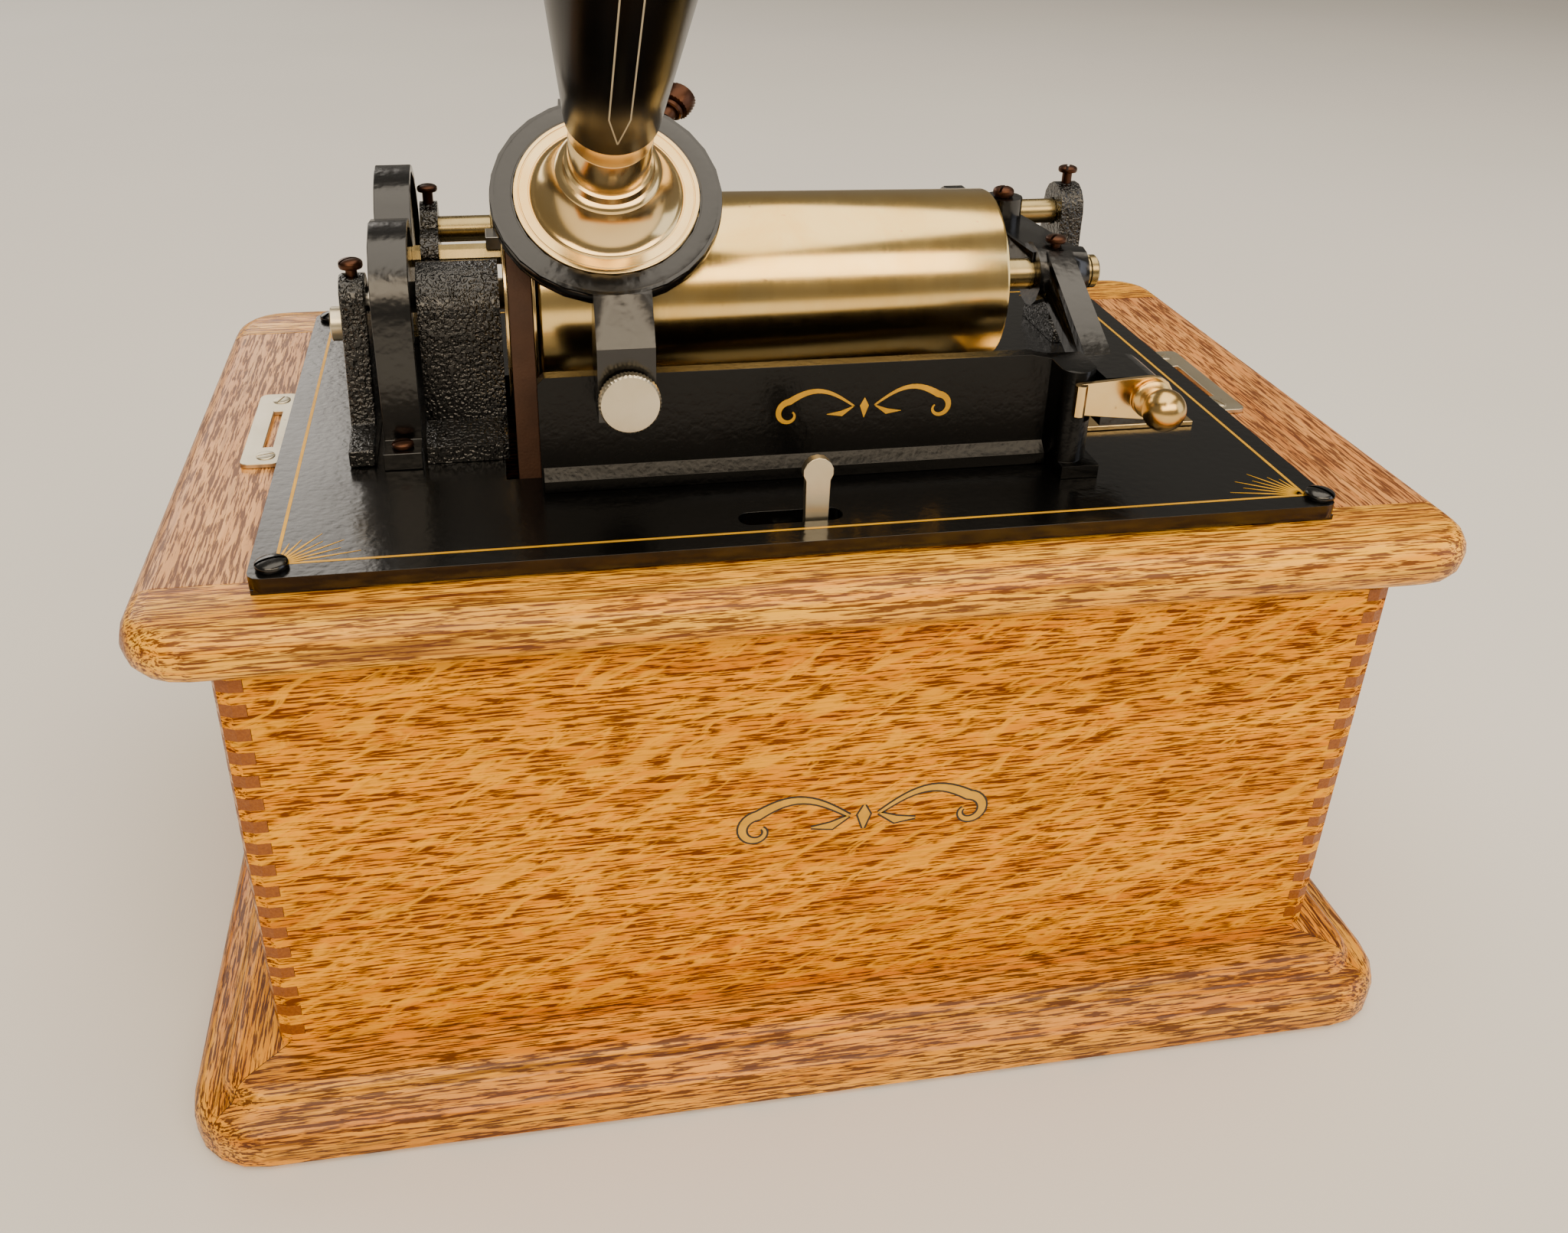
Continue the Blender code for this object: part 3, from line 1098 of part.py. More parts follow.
    # Half nut on its flat spring, over the feed screw
    strip, nut_left, nut_width = 0.7 * MM, -72.5 * MM, 13.0 * MM
    nut_half, nut_height = 4.2 * MM, 2.0 * MM
    over = RUN
    arch = arc(FEED, FEED_RADIUS + over, math.pi * 0.75, math.pi * 0.25, 5)
    strip_z = FEED_Z + FEED_RADIUS + nut_height
    seat_y = ROD_Y - hub_half - FIT
    outline = [(seat_y, strip_z), (seat_y, strip_z + strip), (FEED_Y - nut_half, strip_z + strip),
               (FEED_Y - nut_half, arch[0][1])]
    outline += arch
    outline += [(FEED_Y + nut_half * 0.75, arch[-1][1]), (FEED_Y + nut_half * 0.75, strip_z)]
    make("half_nut", prism([outline], "X", nut_left, nut_left + nut_width), "steel", rest, lifting)
    return lifting


NECK_RADIUS = 9.0 * MM
NECK_TOP = 40.0 * MM
NECK_BORE = 6.5 * MM


def build_reproducer(arm_axis):
    # Plate, stepped dome and neck of the reproducer, turned about the eye's axis
    radius = EYE_BORE - FIT * 2.0
    bottom, plate, lip = 5.4 * MM, 0.6 * MM, 0.3 * MM
    dome_foot, dome_top, shoulder, dome_sink = 16.8 * MM, 12.8 * MM, 10.2 * MM, 1.4 * MM
    dome_rise, shoulder_rise, neck_rise = 8.6 * MM, 10.4 * MM, 12.0 * MM
    profile = [
        (-bottom, 0.0), (-bottom, radius - lip), (-bottom + lip, radius), (plate - lip, radius),
        (plate, radius - lip), (plate, dome_foot + lip), (plate + dome_rise * 0.25, dome_foot),
        (plate + dome_rise * 0.7, dome_foot - dome_sink), (dome_rise, dome_top + lip),
        (shoulder_rise - lip, dome_top - lip), (shoulder_rise, shoulder + lip),
        (neck_rise - lip, shoulder), (neck_rise, NECK_RADIUS), (NECK_TOP, NECK_RADIUS),
        (NECK_TOP, NECK_BORE), (-lip, NECK_BORE), (-lip, 0.0),
    ]
    make("reproducer", eye_place(lathe(profile, FINE_SIDES)), "nickel", EYE_CENTRE, arm_axis, 30.0 * DEG)
    # Floating weight with the stylus at its middle, hung at its upper edge
    gap, thick, weight_radius, stylus, reach = 0.3 * MM, 3.4 * MM, 16.5 * MM, 0.9 * MM, 2.2 * MM
    top = -bottom - gap
    weight = [
        (top - thick - reach, 0.0), (top - thick - reach * 0.4, stylus), (top - thick, stylus * 1.5),
        (top - thick, weight_radius - lip * 4.0), (top - thick * 0.5, weight_radius), (top,
            weight_radius), (top, 0.0),
    ]
    hang = EYE_CENTRE - EYE_DOWN * weight_radius + EYE_OUT * top
    make("stylus_weight", eye_place(lathe(weight, ROUND_SIDES)), "brass", hang, arm_axis, 30.0 * DEG)


HORN_START = 27.5 * MM
HORN_WALL = 0.8 * MM
HORN_SLOPE = 0.110
HORN_CONE = 270.0 * MM
HORN_LENGTH = 345.0 * MM
HORN_BELL_RADIUS = 84.0 * MM


def build_horn(arm_axis):
    # Cone that slips over the neck, with a flared bell and a beaded rim
    throat = NECK_RADIUS + FIT * 2.0
    outer = []
    cone_steps, bell_steps = 1, 6
    for k in range(cone_steps + 1):
        run = HORN_CONE * k / cone_steps
        outer.append((HORN_START + run, throat + HORN_WALL + HORN_SLOPE * run))
    cone_end = outer[-1][1]
    for k in range(1, bell_steps + 1):
        share = k / bell_steps
        run = HORN_CONE + (HORN_LENGTH - HORN_CONE) * math.sin(share * math.pi / 2.0) ** 0.8
        straight = cone_end + HORN_SLOPE * (run - HORN_CONE)
        flare = (HORN_BELL_RADIUS - cone_end - HORN_SLOPE * (HORN_LENGTH - HORN_CONE)) * share ** 2.2
        outer.append((HORN_START + run, straight + flare))
    inner = [(along, radius - HORN_WALL) for along, radius in outer]
    lip = 0.8 * MM
    inner[-1] = (outer[-1][0] + HORN_WALL, outer[-1][1] - HORN_WALL)
    inner[-2] = (inner[-2][0] + HORN_WALL * 0.6, inner[-2][1])
    rim = [(outer[-1][0] - lip, outer[-1][1] + lip), (outer[-1][0] + lip, outer[-1][1] + lip)]
    profile = outer + rim + list(reversed(inner))
    make("horn", eye_place(lathe(profile, FINE_SIDES, closed=True)), "black_enamel", EYE_CENTRE, arm_axis,
         30.0 * DEG)


# Gate that holds the mandrel's right end, with its latch

def build_gate(top):
    place = Vector((GATE_PIVOT_X, GATE_PIVOT_Y, GATE_EAR_BOTTOM))
    swinging = pivot("gate_axis", place, top)
    ear_radius = 6.0 * MM
    ear_top = GATE_EAR_BOTTOM + GATE_EAR_HEIGHT
    plan = arc((GATE_PIVOT_X, GATE_PIVOT_Y), ear_radius, 0.0, math.pi, 6)
    arm_reach = 2.0 * MM
    arm_back = MANDREL_Y - arm_reach
    arm_shift = 4.0 * MM
    plan += [(GATE_PIVOT_X - ear_radius + arm_shift * 0.6, arm_back),
             (GATE_PIVOT_X + ear_radius + arm_shift, arm_back)]
    gate = make("gate", prism([plan], "Z", GATE_EAR_BOTTOM, ear_top), "black_japan", place, swinging,
                25.0 * DEG)
    boss = rod(GATE_BOSS_RADIUS, place + ALONG["Z"] * RUN,
               place + ALONG["Z"] * (GATE_EAR_HEIGHT + GATE_BOSS_RISE), ROUND_SIDES)
    shape_with(gate, boss, "UNION")
    hub = [(0.0, GATE_HUB_RADIUS), (GATE_WIDTH * 0.25, GATE_HUB_RADIUS * 0.92),
           (GATE_WIDTH, GATE_HUB_RADIUS * 0.8)]
    shape_with(gate, turned(hub, ROUND_SIDES, Vector((GATE_LEFT, *MANDREL)), ALONG["X"]), "UNION")
    # Front arm from the hub down to the latch lug
    lug_back, lug_right, post_gap = -42.0 * MM, 84.0 * MM, 1.2 * MM
    lug_high, lug_low, arm_inset, arm_width = 24.6 * MM, 12.6 * MM, 2.6 * MM, 6.8 * MM
    lug_front = POST_FRONT + RUN
    lug_left = POST_LEFT + POST_WIDTH + post_gap
    lug_top, lug_bottom = BED_FACE + lug_high, BED_FACE + lug_low
    arm_left = GATE_LEFT + arm_inset
    arm_right = arm_left + arm_width
    crest = MANDREL_Z + GATE_HUB_RADIUS * 0.82
    arm_drop = 5.0 * MM
    outline = [
        (MANDREL_Y + GATE_HUB_RADIUS * 0.4, crest), (MANDREL_Y - GATE_HUB_RADIUS * 0.5, crest),
        (lug_back + arm_drop * 0.4, lug_top), (lug_back - arm_drop * 0.2, lug_bottom + arm_drop),
        (lug_back + arm_drop * 1.4, lug_bottom + arm_drop), (MANDREL_Y - GATE_HUB_RADIUS * 0.6,
                                                             MANDREL_Z - arm_drop),
    ]
    shape_with(gate, prism([outline], "X", arm_left, arm_right), "UNION")
    curve = 5.0 * MM
    face = [(lug_left, lug_bottom), (lug_right - curve, lug_bottom)]
    face += arc((lug_right - curve, lug_bottom + curve), curve, -math.pi / 2.0, 0.0, 4)[1:]
    face += arc((lug_right - curve, lug_top - curve), curve, 0.0, math.pi / 2.0, 4)
    face += [(lug_left, lug_top)]
    shape_with(gate, prism([face], "Y", lug_front, lug_back), "UNION")
    pin_radius = 4.0 * MM
    bore = drill(pin_radius + FIT, Vector((GATE_LEFT - OVERRUN, *MANDREL)),
                 Vector((GATE_LEFT + GATE_WIDTH + OVERRUN, *MANDREL)),
               ROUND_SIDES)
    shape_with(gate, bore, "DIFFERENCE")
    screw_hole = drill(GATE_SCREW_RADIUS + FIT, place - ALONG["Z"] * OVERRUN,
                       place + ALONG["Z"] * (GATE_EAR_HEIGHT + GATE_BOSS_RISE + OVERRUN),
                     SMALL_SIDES)
    shape_with(gate, screw_hole, "DIFFERENCE")
    tip, tip_radius, cone = 1.8 * MM, 1.6 * MM, 2.4 * MM
    head, head_thick, head_gap = 4.3 * MM, 2.4 * MM, 1.6 * MM
    start = MANDREL_RIGHT - tip
    end = GATE_LEFT + GATE_WIDTH
    pin = [
        (start, 0.0), (start, tip_radius), (start + cone, pin_radius), (end + head_gap, pin_radius),
        (end + head_gap, head), (end + head_gap + head_thick - RUN, head),
        (end + head_gap + head_thick, head - RUN), (end + head_gap + head_thick, 0.0),
    ]
    make("gate_pin", turned(pin, ROUND_SIDES, Vector((0.0, *MANDREL)), ALONG["X"]), "nickel", place,
         swinging, 30.0 * DEG)
    lift, depth = 1.4 * MM, 2.0 * MM
    screw_place = Vector((GATE_LEFT + GATE_WIDTH * 0.45, MANDREL_Y, crest))
    set_screw(top, "gate_set_screw", gate, screw_place, lift, depth, swinging)

    # Latch plate hooked on the post, turned by the ball on its pivot
    pivot_place = Vector((LATCH_PIVOT_X, POST_FRONT, LATCH_PIVOT_Z))
    turning = pivot("latch_axis", pivot_place, swinging)
    plate_gap, plate_thick = 0.6 * MM, 1.3 * MM
    plate_back = POST_FRONT - plate_gap
    hook_inset, hook_low, hook_high = 3.0 * MM, 3.3 * MM, 4.3 * MM
    hook_x = POST_LEFT + hook_inset
    low_left, high_left = LATCH_PIVOT_Z - hook_low, LATCH_PIVOT_Z + hook_high
    round_end = 5.4 * MM
    face = [(hook_x, low_left), (LATCH_PIVOT_X, LATCH_PIVOT_Z - round_end)]
    face += arc((LATCH_PIVOT_X, LATCH_PIVOT_Z), round_end, -math.pi / 2.0, math.pi / 2.0, 8)[1:]
    face += [(hook_x, high_left)]
    latch = make("latch", prism([face], "Y", plate_back - plate_thick, plate_back), "nickel", pivot_place,
                 turning)
    curl = 1.5 * MM
    curled = circle((hook_x, plate_back - curl), curl, 10)
    shape_with(latch, prism([curled], "Z", low_left, high_left), "UNION")
    stem, stem_depth = 1.8 * MM, 7.0 * MM
    shape_with(latch, drill(stem + FIT, pivot_place + ALONG["Y"] * OVERRUN,
                            pivot_place - ALONG["Y"] * OVERRUN * 2.0, SMALL_SIDES),
               "DIFFERENCE")
    shape_with(gate, drill(stem + FIT, pivot_place + ALONG["Y"] * (stem_depth + RUN),
                           pivot_place - ALONG["Y"] * OVERRUN,
                         SMALL_SIDES), "DIFFERENCE")
    ball, neck, washer, washer_thick, neck_run = 5.0 * MM, 2.6 * MM, 4.6 * MM, 1.2 * MM, 1.6 * MM
    seat = plate_gap + plate_thick + FIT
    centre = seat + washer_thick + neck_run + ball * 0.86
    profile = [(-stem_depth, 0.0), (-stem_depth, stem), (seat, stem), (seat, washer),
               (seat + washer_thick, washer),
               (seat + washer_thick, neck)]
    steps = 6
    first = math.asin(neck / ball)
    for k in range(steps + 1):
        angle = math.pi - first - (math.pi - first) * k / steps
        profile.append((centre + ball * math.cos(angle), ball * math.sin(angle) if k < steps else 0.0))
    make("latch_ball", turned(profile, ROUND_SIDES, pivot_place, -ALONG["Y"]), "brass", pivot_place,
         turning, 40.0 * DEG)


LEVER_X = -3.0 * MM
LEVER_PIVOT_DROP = 22.0 * MM


def build_lever(top, plate_object):
    # Start lever that rocks along its slot on a bracket cast under the bedplate
    width, thick, head_radius, rise, tail = 5.4 * MM, 2.4 * MM, 3.5 * MM, 15.0 * MM, 6.0 * MM
    lead = 1.0 * MM
    y = (LEVER_SLOT_FRONT + LEVER_SLOT_BACK) / 2.0 - lead
    place = Vector((LEVER_X, y, BED_FACE - LEVER_PIVOT_DROP))
    turning = pivot("lever_axis", place, top)
    neck = 5.0 * MM
    crown = BED_FACE + rise
    outline = [(LEVER_X + width / 2.0, place.z - tail), (LEVER_X + width / 2.0, BED_FACE + RUN)]
    outline += arc((LEVER_X, crown - head_radius), head_radius, -0.2 * math.pi, 1.2 * math.pi, 10)
    outline += [(LEVER_X - width / 2.0, BED_FACE + RUN), (LEVER_X - width / 2.0, place.z - tail)]
    pin = 1.6 * MM
    hole = opening((LEVER_X, place.z), pin + FIT, SMALL_SIDES)
    make("start_lever", prism([outline, hole], "Y", y - thick / 2.0, y + thick / 2.0), "nickel", place,
         turning, 25.0 * DEG)
    plate = 2.0 * MM
    gap = RUN
    back = y + thick / 2.0 + gap
    low = (LEVER_X - width * 1.6, back, place.z - tail)
    high = (LEVER_X + width * 1.6, back + plate, BED_UNDER + FIT)
    pin_solid = rod(pin, Vector((LEVER_X, back + plate / 2.0, place.z)),
                    place - ALONG["Y"] * (thick / 2.0 + gap), SMALL_SIDES)
    shape_with(plate_object, box(low, high), "UNION")
    shape_with(plate_object, pin_solid, "UNION")


# Motor: two plates on pillars hung from the bedplate, with the barrel and the train between them
MOTOR_LEFT = -MOTOR_HALF_WIDTH
MOTOR_RIGHT = MOTOR_HALF_WIDTH
WIND_RADIUS = 5.0 * MM
WHEEL_GAP = 5.0 * MM


def build_motor(top):
    front, bottom, back_room = -52.0 * MM, 34.0 * MM, 15.45 * MM
    back = HALF_DEPTH - back_room
    ceiling = BED_UNDER - FIT
    corner = 8.0 * MM
    play = FIT * 2.0
    outline = rounded((front, bottom), (back, ceiling), corner, 2)
    holes = [opening(BARREL, WIND_RADIUS + play, SMALL_SIDES),
             opening(SECOND, ARBOR_THIN + play, SMALL_SIDES),
             opening(DRIVE, ARBOR_THIN + play, SMALL_SIDES), opening(SPEED, ARBOR_THIN + play, SMALL_SIDES)]
    frame = make("motor_frame", prism([outline] + holes, "X", MOTOR_LEFT - MOTOR_PLATE, MOTOR_LEFT),
                 "black_japan",
                 parent=top)
    pillar, inset = 3.4 * MM, 6.0 * MM
    places = ((front + inset, bottom + inset * 2.0), (back - inset, bottom + inset),
              (back - inset, ceiling - inset * 4.0),
              (front + inset, ceiling - inset * 2.0))
    bite = MOTOR_PLATE / 2.0
    for y, z in places:
        shape_with(frame, rod(pillar, Vector((MOTOR_LEFT - bite, y, z)),
                              Vector((MOTOR_RIGHT + bite, y, z)), SMALL_SIDES), "UNION")
    shape_with(frame, prism([outline] + holes, "X", MOTOR_RIGHT, MOTOR_RIGHT + MOTOR_PLATE), "UNION")

    great_left = 24.0 * MM
    gear_width = 4.0 * MM
    barrel_left = MOTOR_LEFT + WHEEL_GAP
    origin = Vector((barrel_left, *BARREL))
    turning = pivot("barrel_axis", origin, top)
    wall, floor = 1.6 * MM, 2.0 * MM
    bore = WIND_RADIUS + play
    barrel_right = great_left - RUN * 2.0
    drum = [(barrel_left, BARREL_RADIUS - wall), (barrel_left, BARREL_RADIUS),
            (barrel_right, BARREL_RADIUS),
            (barrel_right, bore), (barrel_right - floor, bore), (barrel_right - floor,
                                                                 BARREL_RADIUS - wall)]
    barrel = make("spring_barrel", turned(drum, ROUND_SIDES, Vector((0.0, *BARREL)), ALONG["X"],
                                          closed=True), "steel", origin,
                  turning, 30.0 * DEG)
    toward = direction_of(BARREL, SECOND)
    wheel = gear_outline(BARREL, MOTOR_MODULE, GREAT_TEETH, toward)
    gear = prism([wheel, opening(BARREL, bore + play, SMALL_SIDES)], "X", barrel_right - floor / 2.0,
                 great_left + gear_width)
    shape_with(barrel, gear, "UNION")

    # Mainspring: a flat strip wound from the arbor out to the barrel's wall
    turns, per_turn = 4, 12
    strip, core_gap, wall_gap = 1.6 * MM, 2.4 * MM, 1.0 * MM
    inner, outer = WIND_RADIUS + core_gap, BARREL_RADIUS - wall - wall_gap
    count = turns * per_turn
    front_edge, back_edge = [], []
    for k in range(count + 1):
        angle = math.tau * k / per_turn
        radius = inner + (outer - strip - inner) * k / count
        front_edge.append((BARREL_Y + radius * math.cos(angle), BARREL_Z + radius * math.sin(angle)))
        back_edge.append((BARREL_Y + (radius + strip) * math.cos(angle),
                          BARREL_Z + (radius + strip) * math.sin(angle)))
    side = 2.0 * MM
    spring = prism([front_edge + list(reversed(back_edge))], "X", barrel_left + side,
                   barrel_right - floor - side * 0.2)
    make("mainspring", spring, "steel", origin, turning)
    print("mainspring gap between turns, mm:", round(((outer - strip - inner) / turns - strip) / MM, 2))

    origin = Vector((MOTOR_LEFT, *BARREL))
    winding = pivot("winding_axis", origin, top)
    shaft_end = HALF_WIDTH - BOARD - RUN * 2.0
    square = 4.0 * MM
    tip = 12.0 * MM
    core = [(MOTOR_LEFT - MOTOR_PLATE, 0.0), (MOTOR_LEFT - MOTOR_PLATE, WIND_RADIUS),
            (shaft_end - tip, WIND_RADIUS),
            (shaft_end - tip, square), (shaft_end, square), (shaft_end, 0.0)]
    make("winding_shaft", turned(core, SMALL_SIDES, Vector((0.0, *BARREL)), ALONG["X"]), "steel", origin,
         winding, 30.0 * DEG)

    # Second arbor with its pinion and wheel
    origin = Vector((great_left, *SECOND))
    turning = pivot("second_axis", origin, top)
    wheel_left = great_left + gear_width + WHEEL_GAP
    arbor_hole = ARBOR_THIN + FIT
    end_play = 0.6 * MM
    ends = (MOTOR_LEFT - MOTOR_PLATE + end_play, MOTOR_RIGHT + MOTOR_PLATE - end_play)
    arbor = make("second_arbor", rod(ARBOR_THIN, Vector((ends[0], *SECOND)), Vector((ends[1], *SECOND)),
                                     SMALL_SIDES), "brass",
                 origin, turning, 30.0 * DEG)
    outline = gear_outline(SECOND, MOTOR_MODULE, PINION_TEETH, toward + math.pi + math.pi / PINION_TEETH)
    shape_with(arbor, prism([outline], "X", great_left - RUN, great_left + gear_width), "UNION")
    toward = direction_of(SECOND, DRIVE)
    outline = gear_outline(SECOND, MOTOR_MODULE, SECOND_TEETH, toward)
    shape_with(arbor, prism([outline], "X", wheel_left, wheel_left + gear_width), "UNION")

    # Drive arbor: pinion, governor wheel and the lower belt pulley outside the left plate
    pulley_middle = PULLEY_LEFT + PULLEY_WIDTH / 2.0
    origin = Vector((pulley_middle, *DRIVE))
    turning = pivot("drive_axis", origin, top)
    third_left = wheel_left + gear_width + WHEEL_GAP
    hub_proud = 1.0 * MM
    hub_end = PULLEY_LEFT - hub_proud
    arbor = make("drive_arbor", rod(ARBOR_THIN, Vector((hub_end, *DRIVE)), Vector((ends[1], *DRIVE)),
                                    SMALL_SIDES), "brass",
                 origin, turning, 30.0 * DEG)
    outline = gear_outline(DRIVE, MOTOR_MODULE, PINION_TEETH, toward + math.pi + math.pi / PINION_TEETH)
    shape_with(arbor, prism([outline], "X", wheel_left, wheel_left + gear_width), "UNION")
    toward = direction_of(DRIVE, SPEED)
    outline = gear_outline(DRIVE, SPEED_MODULE, THIRD_TEETH, toward)
    third_width = 3.0 * MM
    shape_with(arbor, prism([outline], "X", third_left, third_left + third_width), "UNION")
    right = PULLEY_LEFT + PULLEY_WIDTH
    flange_rise, flange = 2.4 * MM, 0.7 * MM
    wheel = [(PULLEY_LEFT, arbor_hole), (PULLEY_LEFT, MOTOR_SEAT + flange_rise),
             (PULLEY_LEFT + flange, MOTOR_SEAT + flange_rise), (PULLEY_LEFT + flange, MOTOR_SEAT),
             (right - flange, MOTOR_SEAT), (right - flange, MOTOR_SEAT + flange_rise), (right,
                 MOTOR_SEAT + flange_rise),
             (right, arbor_hole)]
    make("motor_pulley", turned(wheel, ROUND_SIDES, Vector((0.0, *DRIVE)), ALONG["X"], closed=True),
         "steel", origin, turning, 30.0 * DEG)

    # Governor: friction disc, sliding hub and three weights on bowed flat springs
    origin = Vector((0.0, *SPEED))
    turning = pivot("governor_axis", origin, top)
    disc_left, hub_left = -36.0 * MM, 10.0 * MM
    disc_radius, disc_thick, hub_radius, hub_width = 11.0 * MM, 2.0 * MM, 5.0 * MM, 6.0 * MM
    shaft = [
        (ends[0], 0.0), (ends[0], ARBOR_THIN), (disc_left, ARBOR_THIN), (disc_left, disc_radius),
        (disc_left + disc_thick, disc_radius), (disc_left + disc_thick, hub_radius),
        (disc_left + disc_thick + hub_width, hub_radius), (disc_left + disc_thick + hub_width, ARBOR_THIN),
        (hub_left, ARBOR_THIN), (hub_left, hub_radius), (hub_left + hub_width, hub_radius),
        (hub_left + hub_width, ARBOR_THIN), (ends[1], ARBOR_THIN), (ends[1], 0.0),
    ]
    governor = make("governor", turned(shaft, SMALL_SIDES, Vector((0.0, *SPEED)), ALONG["X"]), "brass",
                    origin, turning, 30.0 * DEG)
    blade, blade_width, bow_rise, weight = 0.6 * MM, 4.0 * MM, 4.0 * MM, 3.6 * MM
    spring_left, spring_right = disc_left + disc_thick + RUN, hub_left + hub_width - RUN
    length = spring_right - spring_left
    for k in range(3):
        turn = Matrix.Rotation(math.tau * k / 3.0, 4, "X")
        lower, upper = [], []
        for step in range(7):
            share = step / 6.0
            radius = hub_radius - RUN + bow_rise * math.sin(math.pi * share) ** 0.8
            lower.append((spring_left + length * share, radius))
            upper.append((spring_left + length * share, radius + blade))
        strip_solid = prism([lower + list(reversed(upper))], "Y", -blade_width / 2.0, blade_width / 2.0)
        ball = bmesh.new()
        bmesh.ops.create_icosphere(ball, subdivisions=1, radius=weight)
        middle = Vector(((spring_left + spring_right) / 2.0, 0.0, hub_radius + bow_rise + blade))
        bmesh.ops.translate(ball, vec=middle, verts=ball.verts)
        for piece in (strip_solid, ball):
            bmesh.ops.transform(piece, matrix=Matrix.Translation(origin) @ turn, verts=piece.verts)
            shape_with(governor, piece, "UNION")
    outline = gear_outline(SPEED, SPEED_MODULE, SPEED_PINION_TEETH,
                           toward + math.pi + math.pi / SPEED_PINION_TEETH)
    shape_with(governor, prism([outline], "X", third_left, third_left + third_width), "UNION")


def build_belt(top):
    # Flat belt round both pulleys, its front run upright
    upper_inner, lower_inner = PULLEY_SEAT + FIT, MOTOR_SEAT + FIT
    reach = math.hypot(MANDREL_Y - DRIVE[0], MANDREL_Z - DRIVE[1])
    line = direction_of(DRIVE, MANDREL)
    loops = []
    for extra in (BELT_THICK, 0.0):
        upper, lower = upper_inner + extra, lower_inner + extra
        spread = math.acos((lower - upper) / reach)
        loop = arc(MANDREL, upper, line - spread, line + spread, 20)
        loop += arc(DRIVE, lower, line + spread, line + math.tau - spread, 12)
        loops.append(loop)
    middle = PULLEY_LEFT + PULLEY_WIDTH / 2.0
    flanges = 1.4 * MM
    half = min(BELT_WIDTH, PULLEY_WIDTH - flanges - RUN) / 2.0
    make("belt", prism(loops, "X", middle - half, middle + half), "leather", parent=top, smooth=30.0 * DEG)


build_base()
build_case()
TOP_HINGE = pivot("top_axis", Vector((0.0, HINGE_Y, HINGE_Z)))
build_hinges(TOP_HINGE)
build_top(TOP_HINGE)
BEDPLATE = build_bed(TOP_HINGE)
build_bearings(TOP_HINGE)
build_cover(TOP_HINGE)
build_rail(TOP_HINGE)
build_back(TOP_HINGE)
build_plates(TOP_HINGE)
build_mandrel(TOP_HINGE)
build_feed(TOP_HINGE)
ARM_AXIS = build_carriage(TOP_HINGE)
build_reproducer(ARM_AXIS)
build_horn(ARM_AXIS)
build_gate(TOP_HINGE)
build_lever(TOP_HINGE, BEDPLATE)
build_motor(TOP_HINGE)
build_belt(TOP_HINGE)
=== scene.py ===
# Cylinder phonograph: finishes, fine turned pieces, gilding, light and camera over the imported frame
import json
import math

import bmesh
import bpy
from mathutils import Matrix, Vector


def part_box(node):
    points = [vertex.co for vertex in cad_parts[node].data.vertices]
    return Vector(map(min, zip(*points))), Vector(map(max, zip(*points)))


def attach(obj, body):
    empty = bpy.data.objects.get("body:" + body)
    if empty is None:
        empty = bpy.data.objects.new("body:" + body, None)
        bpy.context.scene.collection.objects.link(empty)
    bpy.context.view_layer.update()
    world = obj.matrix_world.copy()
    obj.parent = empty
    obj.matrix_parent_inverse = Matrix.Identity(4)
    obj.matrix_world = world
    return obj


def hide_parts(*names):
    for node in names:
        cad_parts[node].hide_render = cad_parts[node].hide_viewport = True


MM = 0.001
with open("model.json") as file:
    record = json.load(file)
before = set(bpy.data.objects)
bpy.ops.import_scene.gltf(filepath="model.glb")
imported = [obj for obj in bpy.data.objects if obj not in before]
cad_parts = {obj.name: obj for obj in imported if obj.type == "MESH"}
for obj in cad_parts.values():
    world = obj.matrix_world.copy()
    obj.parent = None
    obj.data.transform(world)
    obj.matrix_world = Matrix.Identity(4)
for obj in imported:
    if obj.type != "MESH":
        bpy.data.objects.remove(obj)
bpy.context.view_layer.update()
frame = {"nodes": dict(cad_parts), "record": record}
record = frame["record"]
BODY_OF = {node: body for body, nodes in record["behaviour"]["bodies"].items() for node in nodes}
SLOT_OF = {entry["node"]: entry["material_slot"] for entry in record["subparts"]}

X_AXIS = Vector((1.0, 0.0, 0.0))
Y_AXIS = Vector((0.0, 1.0, 0.0))
Z_AXIS = Vector((0.0, 0.0, 1.0))

# Lines and faces of the machine that the turned pieces and the gilding are set on
BED_FACE = 140.66
MANDREL_AXIS = Vector((0.0, -5.6, 174.36)) * MM
ROD_AXIS = Vector((0.0, 42.0, 177.36)) * MM
KNOB_CENTRE = Vector((-43.444, -57.5, 166.76)) * MM
LATCH_PIVOT = Vector((79.0, -57.0, 160.56)) * MM
EYE_CENTRE = Vector((-44.9, -32.498, 205.303)) * MM
EYE_OUT = Vector((0.0, -0.656059, 0.75471))
EYE_DOWN = Vector((0.0, -0.75471, -0.656059))
CLAMP_ANGLE = math.radians(35.5)
# Middle of the mitred base and half its length along X and Y
BASE_FRAME = (-1.5 * MM, -1.6 * MM, 153.0 * MM, 108.4 * MM)


# Shader helpers

def linear(code):
    # sRGB hex to the linear colour that Blender works in
    channels = [int(code[k:k + 2], 16) / 255.0 for k in (1, 3, 5)]
    return (*[c / 12.92 if c <= 0.04045 else ((c + 0.055) / 1.055) ** 2.4 for c in channels], 1.0)


